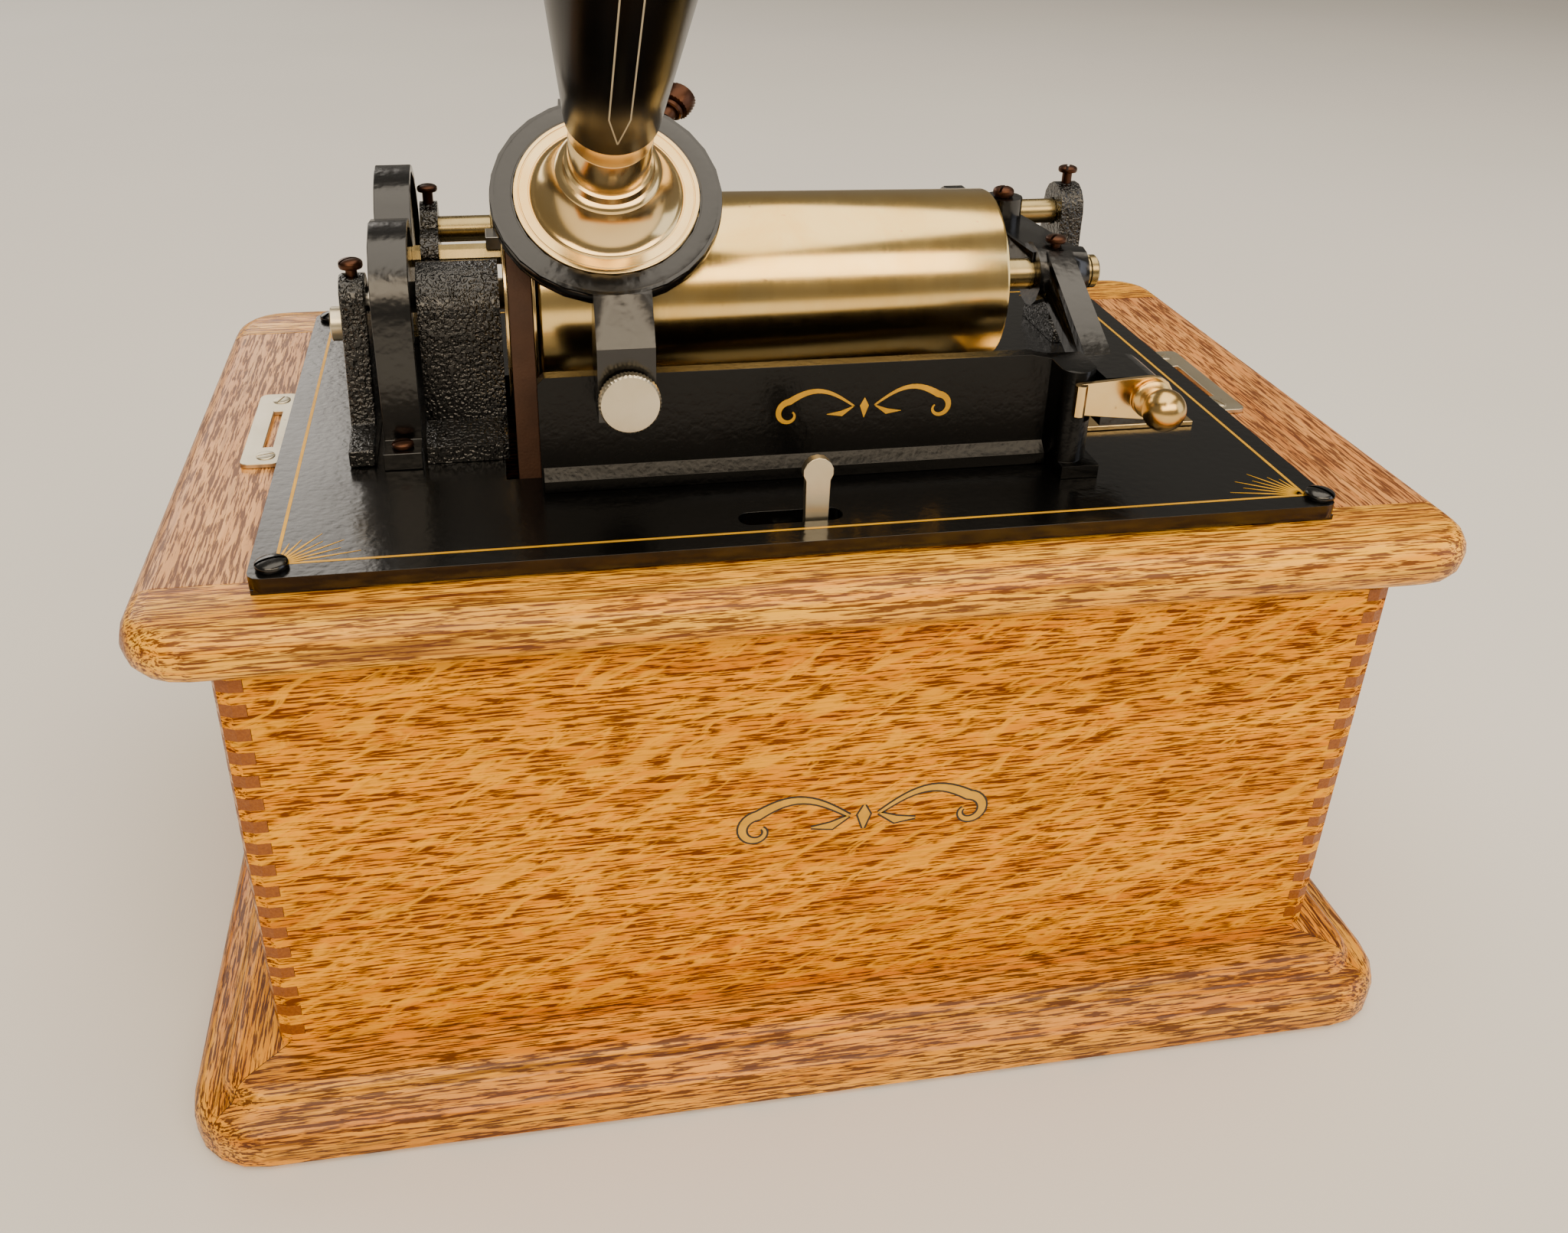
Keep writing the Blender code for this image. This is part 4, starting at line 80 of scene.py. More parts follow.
def add(material, kind, sockets=None, stops=None, **settings):
    # One shader node with its settings, its fixed values and its links
    node = material.node_tree.nodes.new("ShaderNode" + kind)
    for name, value in settings.items():
        setattr(node, name, value)
    for name, value in (sockets or {}).items():
        if isinstance(value, bpy.types.NodeSocket):
            material.node_tree.links.new(value, node.inputs[name])
        else:
            node.inputs[name].default_value = value
    if stops:
        elements = node.color_ramp.elements
        elements[0].position, elements[0].color = stops[0]
        elements[1].position, elements[1].color = stops[-1]
        for position, colour in stops[1:-1]:
            elements.new(position).color = colour
    return node


def grey(value):
    return (value, value, value, 1.0)


def ramp(material, factor, *stops):
    # Grey or coloured steps over a factor
    steps = [(at, grey(tone) if isinstance(tone, float) else linear(tone)) for at, tone in stops]
    return add(material, "ValToRGB", {"Fac": factor}, stops=steps).outputs["Color"]


def mixed(material, factor, first, second):
    return add(material, "Mix", {0: factor, 6: first, 7: second}, data_type="RGBA").outputs[2]


def maths(material, operation, first, second=0.0):
    return add(material, "Math", {0: first, 1: second}, operation=operation).outputs[0]


def noise(material, vector, scale, detail=3.0, roughness=0.55, distortion=0.0):
    # Scale is in cycles a metre along each axis of the piece
    spread = add(material, "Mapping", {"Vector": vector, "Scale": scale}).outputs["Vector"]
    sockets = {"Vector": spread, "Scale": 1.0, "Detail": detail, "Roughness": roughness,
               "Distortion": distortion}
    return add(material, "TexNoise", sockets).outputs["Fac"]


def cloudy(material, vector, density, *settings):
    # Noise of the same density along all three axes
    return noise(material, vector, (density, density, density), *settings)


def finish(name):
    # A named material with its shader and the piece's own coordinates
    material = bpy.data.materials.new(name)
    material.use_nodes = True
    shader = material.node_tree.nodes["Principled BSDF"]
    return material, shader, add(material, "TexCoord")


def join(material, output, target):
    material.node_tree.links.new(output, target)


def bumped(material, shader, height, strength, depth):
    # Height from 0 to 1 as a real depth in metres
    bump = add(material, "Bump", {"Height": height, "Strength": strength, "Distance": depth})
    join(material, bump.outputs["Normal"], shader.inputs["Normal"])


# Wood: white oak under an amber varnish, with open pores and, where it is quartersawn, pale ray flakes

def along_grain(axis, length, width):
    # Cycles a metre for marks of that length along the grain and that width across it
    return tuple(1.0 / length if k == axis else 1.0 / width for k in range(3))


def oak_figure(material, spot, axis, tones, flakes, slant, streaks):
    # Colour and pore mask of a board whose grain runs along that axis
    dark, mid, light, flake = tones
    growth = noise(material, spot, along_grain(axis, 80.0 * MM, 3.4 * MM), 4.0, 0.62, 0.5)
    colour = ramp(material, growth, (0.34, mid), (0.62, light))
    shade = noise(material, spot, along_grain(axis, 130.0 * MM, 18.0 * MM), 3.0, 0.6, 0.8)
    colour = mixed(material, ramp(material, shade, (0.42, 0.0), (0.66, 0.28)), colour, linear(dark))
    if streaks:
        band = noise(material, spot, along_grain(axis, 70.0 * MM, 2.4 * MM), 3.0, 0.62, 1.0)
        colour = mixed(material, ramp(material, band, (0.56, 0.0), (0.66, streaks)), colour, linear(dark))
    pore = noise(material, spot, along_grain(axis, 9.0 * MM, 0.56 * MM), 3.0, 0.6, 0.25)
    pores = ramp(material, pore, (0.48, 0.0), (0.55, 1.0))
    if flakes:
        about = "Y_AXIS" if axis == 0 else "X_AXIS"
        sockets = {"Vector": spot, "Angle": slant}
        turned = add(material, "VectorRotate", sockets, rotation_type=about).outputs[0]
        ray = noise(material, turned, along_grain(axis, 15.0 * MM, 3.4 * MM), 3.0, 0.62, 1.2)
        ribbon = ramp(material, ray, (0.50, 0.0), (0.62, 1.0))
        colour = mixed(material, maths(material, "MULTIPLY", ribbon, flakes), colour, linear(flake))
        kept = maths(material, "SUBTRACT", 1.0, maths(material, "MULTIPLY", ribbon, 0.8))
        pores = maths(material, "MULTIPLY", pores, kept)
    colour = mixed(material, maths(material, "MULTIPLY", pores, 0.92), colour, linear(dark))
    return colour, pores


def past(material, place, middle, half):
    # How far a place lies past the end of a span
    offset = maths(material, "ABSOLUTE", maths(material, "SUBTRACT", place, middle))
    return maths(material, "SUBTRACT", offset, half)


def oak(name, tones, axis, flakes=0.0, slant=0.0, streaks=0.0, gloss=0.30, shine=0.16, mitre=None):
    material, shader, coordinates = finish(name)
    spot = coordinates.outputs["Object"]
    colour, pores = oak_figure(material, spot, axis, tones, flakes, slant, streaks)
    if mitre:
        # Side lengths of a mitred frame: past the mitre line the grain runs the other way
        across, across_pores = oak_figure(material, spot, 1 - axis, tones, flakes, slant, streaks)
        parts = add(material, "SeparateXYZ", {0: spot}).outputs
        middle_x, middle_y, half_x, half_y = mitre
        sideways = past(material, parts[0], middle_x, half_x)
        endways = past(material, parts[1], middle_y, half_y)
        gap = maths(material, "SUBTRACT", sideways, endways)
        side = maths(material, "GREATER_THAN", gap, 0.0)
        colour = mixed(material, side, colour, across)
        pores = mixed(material, side, pores, across_pores)
        seam = maths(material, "LESS_THAN", maths(material, "ABSOLUTE", gap), 0.16 * MM)
        colour = mixed(material, maths(material, "MULTIPLY", seam, 0.8), colour, linear("#24130A"))
    else:
        # End grain drinks more stain, and shows its pores as dots
        facings = add(material, "SeparateXYZ", {0: coordinates.outputs["Normal"]}).outputs
        facing = maths(material, "ABSOLUTE", facings[axis])
        dots = cloudy(material, spot, 1500.0, 2.0)
        ends = mixed(material, dots, linear("#6E3608"), linear("#A2601C"))
        colour = mixed(material, ramp(material, facing, (0.70, 0.0), (0.86, 1.0)), colour, ends)
    join(material, colour, shader.inputs["Base Color"])
    worn = cloudy(material, spot, 25.0, 3.0)
    dull = maths(material, "MULTIPLY", pores, 0.16)
    rough = maths(material, "ADD", dull, maths(material, "MULTIPLY", worn, 0.22))
    join(material, maths(material, "ADD", rough, gloss - 0.08), shader.inputs["Roughness"])
    shader.inputs["Specular IOR Level"].default_value = shine * 1.6
    shader.inputs["Coat Weight"].default_value = shine
    shader.inputs["Coat Roughness"].default_value = 0.14
    bumped(material, shader, maths(material, "SUBTRACT", 1.0, pores), 0.4, 0.12 * MM)
    return material


# Metal, japan, enamel and leather

def japan(name, pit, depth, gloss, dust=0.25, sheen=0.5):
    # Black japan: baked bitumen varnish, deep and glossy, that follows the skin of the casting
    material, shader, coordinates = finish(name)
    spot = coordinates.outputs["Object"]
    specks = ramp(material, cloudy(material, spot, 2400.0, 2.0), (0.72, 0.0), (0.80, dust))
    colour = mixed(material, specks, linear("#040404"), linear("#5E564C"))
    join(material, colour, shader.inputs["Base Color"])
    haze = maths(material, "MULTIPLY", cloudy(material, spot, 40.0, 3.0), 0.14)
    join(material, maths(material, "ADD", haze, gloss - 0.07), shader.inputs["Roughness"])
    shader.inputs["IOR"].default_value = 1.6
    shader.inputs["Specular IOR Level"].default_value = sheen
    skin = cloudy(material, spot, 1.0 / pit, 1.5, 0.5)
    swell = cloudy(material, spot, 0.12 / pit, 1.0)
    pits = ramp(material, skin, (0.32, 0.0), (0.60, 0.8))
    height = maths(material, "ADD", pits, maths(material, "MULTIPLY", swell, 0.2))
    bumped(material, shader, height, 1.0, depth)
    return material


def plate_metal(name, tone, stain, gloss, patina):
    # Plated or turned metal: a mirror softened by fine turning marks and a thin yellow tarnish
    material, shader, coordinates = finish(name)
    spot = coordinates.outputs["Object"]
    cloud = cloudy(material, spot, 55.0, 4.0, 0.6, 0.4)
    tarnish = ramp(material, cloud, (0.42, 0.0), (0.72, patina))
    colour = mixed(material, tarnish, linear(tone), linear(stain))
    spots = ramp(material, cloudy(material, spot, 420.0, 2.0), (0.72, 0.0), (0.80, patina))
    colour = mixed(material, spots, colour, linear("#7A5530"))
    join(material, colour, shader.inputs["Base Color"])
    shader.inputs["Metallic"].default_value = 1.0
    marks = noise(material, spot, (2600.0, 60.0, 60.0), 2.0)
    smear = cloudy(material, spot, 70.0, 3.0)
    dull = maths(material, "MULTIPLY", marks, 0.06)
    rough = maths(material, "ADD", dull, maths(material, "MULTIPLY", smear, 0.12))
    join(material, maths(material, "ADD", rough, gloss - 0.08), shader.inputs["Roughness"])
    bumped(material, shader, marks, 0.05, 0.02 * MM)
    return material


def horn_enamel(name):
    # Black stove enamel with pale lines painted along both edges of the seam strip on the lower side, a
    # painted highlight where the strip's raised edges would catch the light
    material, shader, coordinates = finish(name)
    spot = coordinates.outputs["Object"]
    local = add(material, "VectorMath", {0: spot, 1: EYE_CENTRE}, operation="SUBTRACT").outputs["Vector"]
    sideways = add(material, "SeparateXYZ", {0: local}).outputs[0]
    below = add(material, "VectorMath", {0: local, 1: EYE_DOWN}, operation="DOT_PRODUCT").outputs["Value"]
    far = add(material, "VectorMath", {0: local, 1: EYE_OUT}, operation="DOT_PRODUCT").outputs["Value"]
    spread = maths(material, "MULTIPLY", maths(material, "SUBTRACT", far, 32.0 * MM), 0.24)
    half = maths(material, "MINIMUM", spread, 2.1 * MM)
    edge = maths(material, "ABSOLUTE", past(material, sideways, 0.0, half))
    line = maths(material, "LESS_THAN", edge, 0.16 * MM)
    painted_seam_highlight = maths(material, "MULTIPLY", line, maths(material, "GREATER_THAN", below, 0.0))
    painted_seam_highlight = maths(material, "MULTIPLY", painted_seam_highlight, maths(material, "GREATER_THAN", half, 0.0))
    cloud = cloudy(material, spot, 30.0, 3.0)
    aged = ramp(material, cloud, (0.4, 0.0), (0.8, 0.5))
    base = mixed(material, aged, linear("#030303"), linear("#120D09"))
    # Painted highlight: pale colour on the seam strip's two edges, lower side only
    colour = mixed(material, painted_seam_highlight, base, linear("#B9AE94"))
    join(material, colour, shader.inputs["Base Color"])
    dull = maths(material, "MULTIPLY", cloud, 0.14)
    join(material, maths(material, "ADD", dull, 0.16), shader.inputs["Roughness"])
    shader.inputs["Specular IOR Level"].default_value = 0.14
    bumped(material, shader, cloudy(material, spot, 160.0, 2.0), 0.25, 0.05 * MM)
    return material


def belt_leather(name):
    # Oiled harness leather, dark brown, matt and finely pebbled
    material, shader, coordinates = finish(name)
    spot = coordinates.outputs["Object"]
    cloud = cloudy(material, spot, 90.0, 4.0)
    colour = mixed(material, cloud, linear("#2C1A10"), linear("#5C3C28"))
    join(material, colour, shader.inputs["Base Color"])
    shader.inputs["Roughness"].default_value = 0.72
    pebble = add(material, "TexVoronoi", {"Vector": spot, "Scale": 1500.0}).outputs["Distance"]
    bumped(material, shader, pebble, 0.5, 0.12 * MM)
    return material


def gold_leaf(name):
    # Gold size striping: a thin warm metal line, slightly rubbed
    material, shader, coordinates = finish(name)
    spot = coordinates.outputs["Object"]
    rub = cloudy(material, spot, 260.0, 3.0)
    colour = mixed(material, rub, linear("#B8860E"), linear("#F4B81E"))
    join(material, colour, shader.inputs["Base Color"])
    shader.inputs["Metallic"].default_value = 0.25
    shader.inputs["Roughness"].default_value = 0.42
    return material


# Tones of each oak: open pores, shaded wood, light wood, ray flakes
GOLDEN = ("#582000", "#E68A00", "#FFAA00", "#FFBE14")
RAIL_TONES = ("#5E2800", "#F49E0C", "#FFBC2C", "#FFCA4C")
TAN = ("#5E3210", "#D48E44", "#E8A860", "#F0BC7C")
REDDISH = ("#562A0E", "#CC8240", "#E09E58", "#ECB478")
BASE_TONES = ("#481C00", "#D88208", "#F6AC2C", "#F8B848")

MATERIALS = {
    "oak_front": oak("quartersawn_oak_varnished", GOLDEN, 0, flakes=0.45, slant=0.42, shine=0.03),
    "oak_back": oak("plainsawn_oak_varnished", GOLDEN, 0, streaks=0.5),
    "oak_side": oak("oak_side_varnished", TAN, 1, flakes=0.4, slant=0.3, streaks=0.3, gloss=0.34),
    "oak_floor": oak("oak_bottom_unvarnished", TAN, 0, gloss=0.6),
    "oak_rail": oak("oak_top_rail_varnished", RAIL_TONES, 0, streaks=0.7, gloss=0.26),
    "oak_tan": oak("oak_left_board_varnished", TAN, 1, streaks=0.35),
    "oak_red": oak("oak_right_board_varnished", REDDISH, 1, streaks=0.45),
    "oak_base": oak("oak_base_dark_varnished", BASE_TONES, 0, streaks=0.7, gloss=0.22, mitre=BASE_FRAME),
    "japan_cast": japan("japan_on_rough_casting", 0.9 * MM, 0.30 * MM, 0.20),
    "japan_rail": japan("japan_on_filed_casting", 1.6 * MM, 0.04 * MM, 0.26, 0.35, 0.18),
    "japan_smooth": japan("japan_on_planed_iron", 2.6 * MM, 0.05 * MM, 0.22),
    "japan_bed": japan("japan_on_bedplate", 2.2 * MM, 0.03 * MM, 0.20, 0.3),
    "nickel_drum": plate_metal("nickel_on_brass_drum", "#EACB86", "#E0B45E", 0.17, 0.6),
    "nickel_bright": plate_metal("nickel_on_brass_bright", "#EACC92", "#DCB264", 0.17, 0.6),
    "nickel_satin": plate_metal("nickel_satin", "#D6CDB6", "#BCA87E", 0.34, 0.4),
    "nickel_rod": plate_metal("nickel_rod_turned", "#A8966A", "#7A6234", 0.26, 0.5),
    "brass_old": plate_metal("brass_unlacquered", "#DCB876", "#A8823E", 0.24, 0.5),
    "copper_old": plate_metal("copper_flashed_screw", "#54382A", "#241812", 0.38, 0.7),
    "steel": plate_metal("steel_turned", "#9B9A96", "#6C6862", 0.30, 0.3),
    "steel_blued": plate_metal("steel_polished_cool", "#8E97A4", "#4C5668", 0.16, 0.4),
    "enamel": horn_enamel("black_stove_enamel"),
    "leather": belt_leather("harness_leather_oiled"),
    "gilt": gold_leaf("gold_striping"),
    "ink": japan("scroll_outline", 4.0 * MM, 0.01 * MM, 0.5, 0.0),
}


# Mesh helpers

def lathe(profile, centre, direction, steps=96, closed=False):
    # Turns (along, radius) pairs, in millimetres, about a line through centre
    bm = bmesh.new()
    points = [bm.verts.new((radius * MM, 0.0, along * MM)) for along, radius in profile]
    edges = [bm.edges.new(pair) for pair in zip(points, points[1:])]
    if closed:
        edges.append(bm.edges.new((points[-1], points[0])))
    bmesh.ops.spin(bm, geom=points + edges, axis=(0, 0, 1), cent=(0, 0, 0), angle=math.tau, steps=steps,
                   use_merge=True)
    bmesh.ops.remove_doubles(bm, verts=bm.verts, dist=0.0005 * MM)
    bmesh.ops.recalc_face_normals(bm, faces=bm.faces)
    settle(bm, centre, direction)
    return bm


def settle(bm, centre, direction, spin=0.0):
    # From its own axis Z to its place on the machine
    turn = Vector(direction).to_track_quat("Z", "Y").to_matrix().to_4x4() @ Matrix.Rotation(spin, 4, "Z")
    bmesh.ops.transform(bm, matrix=Matrix.Translation(centre) @ turn, verts=bm.verts)


def piece(name, bm, finish_name, body, slot, hides=(), smooth=30.0, bevel=0.0):
    # A visible piece that rides on its body, in the place of the nodes that it hides
    mesh = bpy.data.meshes.new(name)
    for face in bm.faces:
        face.smooth = True
    bm.to_mesh(mesh)
    bm.free()
    mesh.set_sharp_from_angle(angle=math.radians(smooth))
    mesh.materials.append(MATERIALS[finish_name])
    made = bpy.data.objects.new(name, mesh)
    bpy.context.scene.collection.objects.link(made)
    if bevel:
        rounding = made.modifiers.new("edge_round", "BEVEL")
        rounding.width = bevel * MM
        rounding.segments = 2
        rounding.limit_method = "ANGLE"
        rounding.angle_limit = math.radians(40.0)
        rounding.use_clamp_overlap = True
        rounding.harden_normals = True
    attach(made, body)
    if hides:
        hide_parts(*hides)


def dressed(node, finish_name, bevel=0.0, triangles=False):
    # The node's own shape, merged, with softened arrises
    source = frame["nodes"][node]
    bm = bmesh.new()
    bm.from_mesh(source.data)
    bmesh.ops.remove_doubles(bm, verts=bm.verts, dist=0.002 * MM)
    bmesh.ops.dissolve_limit(bm, angle_limit=math.radians(0.6), verts=bm.verts, edges=bm.edges)
    if triangles:
        bmesh.ops.triangulate(bm, faces=bm.faces)
    piece(node + "_dressed", bm, finish_name, BODY_OF[node], SLOT_OF[node], (node,), 32.0, bevel)


def coat(node, finish_name):
    # The CAD node as it is, with its finish
    target = frame["nodes"][node].data
    target.materials.clear()
    target.materials.append(MATERIALS[finish_name])


# Turned pieces

def build_mandrel():
    # Hollow taper drum with a solid left end and a tube round the arbor
    left, right, big, small, wall, core = -61.3, 54.0, 23.7, 22.0, 2.2, 7.5
    profile = [
        (left + 0.7, 0.0), (left + 0.7, 3.9), (left, 3.9), (left, big - 1.0), (left + 0.3, big - 0.3),
        (left + 1.0, big),
        (right - 1.0, small + 0.02), (right - 0.3, small - 0.28), (right, small - 0.95),
        (right, small - wall + 0.4),
        (right - 0.4, small - wall), (left + 3.0, big - wall), (left + 3.0, core), (right - 0.5, core),
        (right, core - 0.5), (right, 4.7), (right - 2.6, 2.5), (right - 2.6, 0.0),
    ]
    drum = lathe(profile, MANDREL_AXIS, X_AXIS, 128)
    piece("mandrel_drum", drum, "nickel_drum", "mandrel", "nickel", ("mandrel",))


def build_rods():
    left, right = (corner.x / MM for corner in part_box("back_rod"))
    profile = [(left, 0.0), (left, 3.1), (left + 0.4, 3.5), (right - 0.4, 3.5), (right, 3.1),
               (right, 0.0)]
    rod = lathe(profile, ROD_AXIS, X_AXIS, 48)
    piece("back_rod_turned", rod, "nickel_rod", "top", "brass", ("back_rod",))
    start, end, bore = -71.0, -33.0, 3.75
    profile = [(start, bore), (start, 4.7), (start + 0.3, 5.0), (end - 0.3, 5.0), (end, 4.7), (end, bore)]
    tube = lathe(profile, ROD_AXIS, X_AXIS, 48, True)
    piece("carriage_sleeve_turned", tube, "nickel_rod", "carriage", "brass", ("carriage_sleeve",))


def build_gate_pin():
    # Tail centre with its point in the arbor and a collar outside the gate
    start, shoulder, radius, collar = 52.2, 82.6, 4.0, 4.3
    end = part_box("gate_pin")[1].x / MM
    profile = [(start, 0.0), (start, 1.5), (start + 0.3, 1.7), (start + 2.3, radius - 0.1),
               (start + 2.6, radius), (shoulder, radius), (shoulder + 0.3, collar), (end - 0.5, collar),
               (end, collar - 0.5), (end, 0.0)]
    pin = lathe(profile, MANDREL_AXIS, X_AXIS, 48)
    piece("gate_pin_turned", pin, "nickel_rod", "gate", "nickel", ("gate_pin",))


def press_in(vert, share):
    # Moves a point of a turned shape nearer to its axis
    vert.co.x *= share
    vert.co.y *= share


def build_knob():
    # Round lifting knob with a straight-knurled rim
    gap, face, radius, stem, depth, sides = 1.1, 4.3, 6.9, 2.0, 5.7, 96
    profile = [(-depth, 0.0), (-depth, stem), (gap, stem), (gap, radius - 0.6), (gap + 0.5, radius),
               (face - 0.6, radius), (face - 0.1, radius - 0.5), (face - 0.05, radius - 1.1),
               (face, radius * 0.5), (face, 0.0)]
    bm = lathe(profile, (0, 0, 0), Z_AXIS, sides)
    for vert in bm.verts:
        reach = math.hypot(vert.co.x, vert.co.y)
        turn = round(math.atan2(vert.co.y, vert.co.x) / (math.tau / sides))
        if reach > (radius - 0.15) * MM and turn % 2:
            press_in(vert, 0.965)
    settle(bm, KNOB_CENTRE, -Y_AXIS)
    piece("lift_knob_knurled", bm, "nickel_satin", "lift_knob", "nickel", ("lift_knob",), smooth=25.0)


def build_clamp():
    # Clamp screw: plain pin, collar and a diamond-knurled barrel head
    outward = X_AXIS * math.sin(CLAMP_ANGLE) - EYE_DOWN * math.cos(CLAMP_ANGLE)
    root = EYE_CENTRE - EYE_OUT * (2.0 * MM)
    start, knurl, rows, sides = 26.1, 3.9, 9, 48
    profile = [(21.9, 0.0), (21.9, 1.2), (start, 1.2), (start, 1.8), (start + 2.4, 1.8),
               (start + 2.4, 2.5), (start + 2.7, 2.8), (start + 3.5, 2.8), (start + 3.8, 2.4),
               (start + 3.9, 3.0)]
    for k in range(rows):
        share = k / (rows - 1)
        profile.append((start + 4.1 + knurl * share, 3.75 + 0.25 * math.sin(math.pi * share)))
    profile += [(start + 8.3, 3.3), (start + 8.6, 2.0), (start + 8.7, 0.0)]
    bm = lathe(profile, (0, 0, 0), Z_AXIS, sides)
    low, high = (start + 4.0) * MM, (start + 8.1) * MM
    step = knurl * MM / (rows - 1)
    for vert in bm.verts:
        if low < vert.co.z < high:
            row = round((vert.co.z - (start + 4.1) * MM) / step)
            turn = round(math.atan2(vert.co.y, vert.co.x) / (math.tau / sides))
            if (row + turn) % 2:
                press_in(vert, 0.93)
    settle(bm, root, outward)
    piece("clamp_screw_knurled", bm, "copper_old", "clamp", "copper_screw", ("clamp_screw",), smooth=12.0)


def build_ball():
    # Ball grip with its collar, on the latch plate
    seat, ball, neck, stem, depth = 2.0, 5.0, 2.7, 1.8, 7.0
    middle = (LATCH_PIVOT.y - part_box("latch_ball")[0].y) / MM - ball
    profile = [(-depth, 0.0), (-depth, stem), (seat, stem), (seat, 4.4), (seat + 0.3, 4.7),
               (seat + 0.9, 4.7), (seat + 1.3, 4.3), (seat + 1.5, 3.4), (seat + 1.9, neck)]
    first = math.asin(neck / ball)
    for k in range(17):
        swing = math.pi - first - (math.pi - first) * k / 16.0
        profile.append((middle + ball * math.cos(swing), ball * math.sin(swing) if k < 16 else 0.0))
    grip = lathe(profile, LATCH_PIVOT, -Y_AXIS, 48)
    piece("latch_ball_turned", grip, "brass_old", "latch", "brass", ("latch_ball",), smooth=40.0)


def build_reproducer():
    # Plated housing: engraved flange, swelling dome, stepped neck and the sleeve that enters the horn
    radius, bottom, plate, rise, groove = 20.7, 5.4, 0.6, 8.0, 0.12
    profile = [(-bottom, 0.0), (-bottom, radius - 0.3), (-bottom + 0.3, radius), (plate - 0.35, radius),
               (plate - 0.1, radius - 0.1), (plate, radius - 0.35), (plate, radius - 1.0),
               (plate - groove, radius - 1.12), (plate - groove, radius - 1.3), (plate, radius - 1.42),
               (plate, 17.4), (plate - groove, 17.28), (plate - groove, 17.1), (plate, 16.98),
               (plate + 0.25, 16.8)]
    for k in range(11):
        share = k / 10.0
        swing = share * math.pi / 2.0
        swell = 0.5 * math.sin(share * math.pi)
        profile.append((plate + 0.4 + rise * (1.0 - math.cos(swing)) ** 0.9,
                        16.6 - 5.2 * math.sin(swing) ** 1.2 + swell))
    profile += [(9.3, 11.6), (9.8, 11.3), (10.2, 10.6), (10.5, 10.0), (11.4, 9.75), (12.0, 9.6),
                (12.3, 9.0), (22.0, 9.0), (22.2, 8.9), (22.4, 9.0), (40.0, 9.0), (40.0, 6.5), (-0.3, 6.5),
                (-0.3, 0.0)]
    housing = lathe(profile, EYE_CENTRE, EYE_OUT, 128)
    piece("reproducer_housing", housing, "nickel_bright", "reproducer", "nickel", ("reproducer",), 35.0)


def build_ring():
    # Turned ring of the arm's eye, over the faceted one
    bottom, top, bore, rim = -4.06, 0.06, 20.9, 25.85
    profile = [(bottom, bore), (top - 0.3, bore), (top, bore + 0.3), (top, rim - 1.1),
               (top - 0.3, rim - 0.4), (top - 1.0, rim), (bottom + 1.0, rim), (bottom + 0.3, rim - 0.4),
               (bottom, rim - 1.1)]
    ring = lathe(profile, EYE_CENTRE, EYE_OUT, 128, True)
    piece("arm_ring_turned", ring, "japan_smooth", "arm", "black_japan", smooth=40.0)


def build_horn():
    # Seamed cone and flared bell with a rolled wire rim
    start, throat, wall, slope = 27.5, 9.2, 0.8, 0.110
    cone, length, bell, bead = 270.0, 345.0, 84.0, 0.9
    outer = [(start, throat + wall * 0.6), (start + 0.4, throat + wall)]
    for k in range(1, 13):
        run = cone * k / 12.0
        outer.append((start + run, throat + wall + slope * run))
    cone_end = outer[-1][1]
    for k in range(1, 17):
        share = k / 16.0
        run = cone + (length - cone) * math.sin(share * math.pi / 2.0) ** 0.8
        straight = cone_end + slope * (run - cone)
        flare = (bell - cone_end - slope * (length - cone)) * share ** 2.2
        outer.append((start + run, straight + flare))
    inner = [(along, radius - wall) for along, radius in outer[2:]]
    inner[-1] = (outer[-1][0] + wall, outer[-1][1] - wall)
    inner[-2] = (inner[-2][0] + wall * 0.6, inner[-2][1])
    end_along, end_radius = outer[-1]
    rim = [(end_along + bead * math.cos(swing), end_radius + 0.25 + bead * math.sin(swing))
           for swing in (math.radians(200.0 - 40.0 * k) for k in range(7))]
    profile = outer[:-1] + rim + list(reversed(inner)) + [(start, throat)]
    shell = lathe(profile, EYE_CENTRE, EYE_OUT, 128, True)
    piece("horn_shell", shell, "enamel", "reproducer", "black_enamel", ("horn",), smooth=40.0)


# Screws with slotted heads

def slotted_head(radius, rise, slot, dome):
    # Domed head with its slot cut by a Boolean
    profile = [(0.0, 0.0), (0.0, radius * 0.93), (rise * 0.2, radius), (rise * 0.45, radius)]
    for k in range(1, 7):
        swing = k / 6.0 * math.pi / 2.0
        profile.append((rise * 0.45 + rise * 0.55 * math.sin(swing) ** dome,
                        radius * math.cos(swing) if k < 6 else 0.0))
    head = bpy.data.objects.new("head", bpy.data.meshes.new("head"))
    cutter = bpy.data.objects.new("cutter", bpy.data.meshes.new("cutter"))
    bm = lathe(profile, (0, 0, 0), Z_AXIS, 40)
    bm.to_mesh(head.data)
    bm.free()
    bm = bmesh.new()
    bmesh.ops.create_cube(bm, size=1.0)
    bmesh.ops.scale(bm, vec=(radius * 2.4 * MM, slot * MM, rise * MM), verts=bm.verts)
    bmesh.ops.translate(bm, vec=(0, 0, rise * 0.98 * MM), verts=bm.verts)
    bm.to_mesh(cutter.data)
    bm.free()
    for made in (head, cutter):
        bpy.context.scene.collection.objects.link(made)
    cut = head.modifiers.new("slot", "BOOLEAN")
    cut.object = cutter
    cut.operation = "DIFFERENCE"
    cut.solver = "EXACT"
    shape = bmesh.new()
    shape.from_object(head, bpy.context.evaluated_depsgraph_get())
    for made in (head, cutter):
        mesh = made.data
        bpy.data.objects.remove(made)
        bpy.data.meshes.remove(mesh)
    return shape


def merge(whole, part):
    # Adds one shape to another and frees it
    copy = bpy.data.meshes.new("copy")
    part.to_mesh(copy)
    part.free()
    whole.from_mesh(copy)
    bpy.data.meshes.remove(copy)


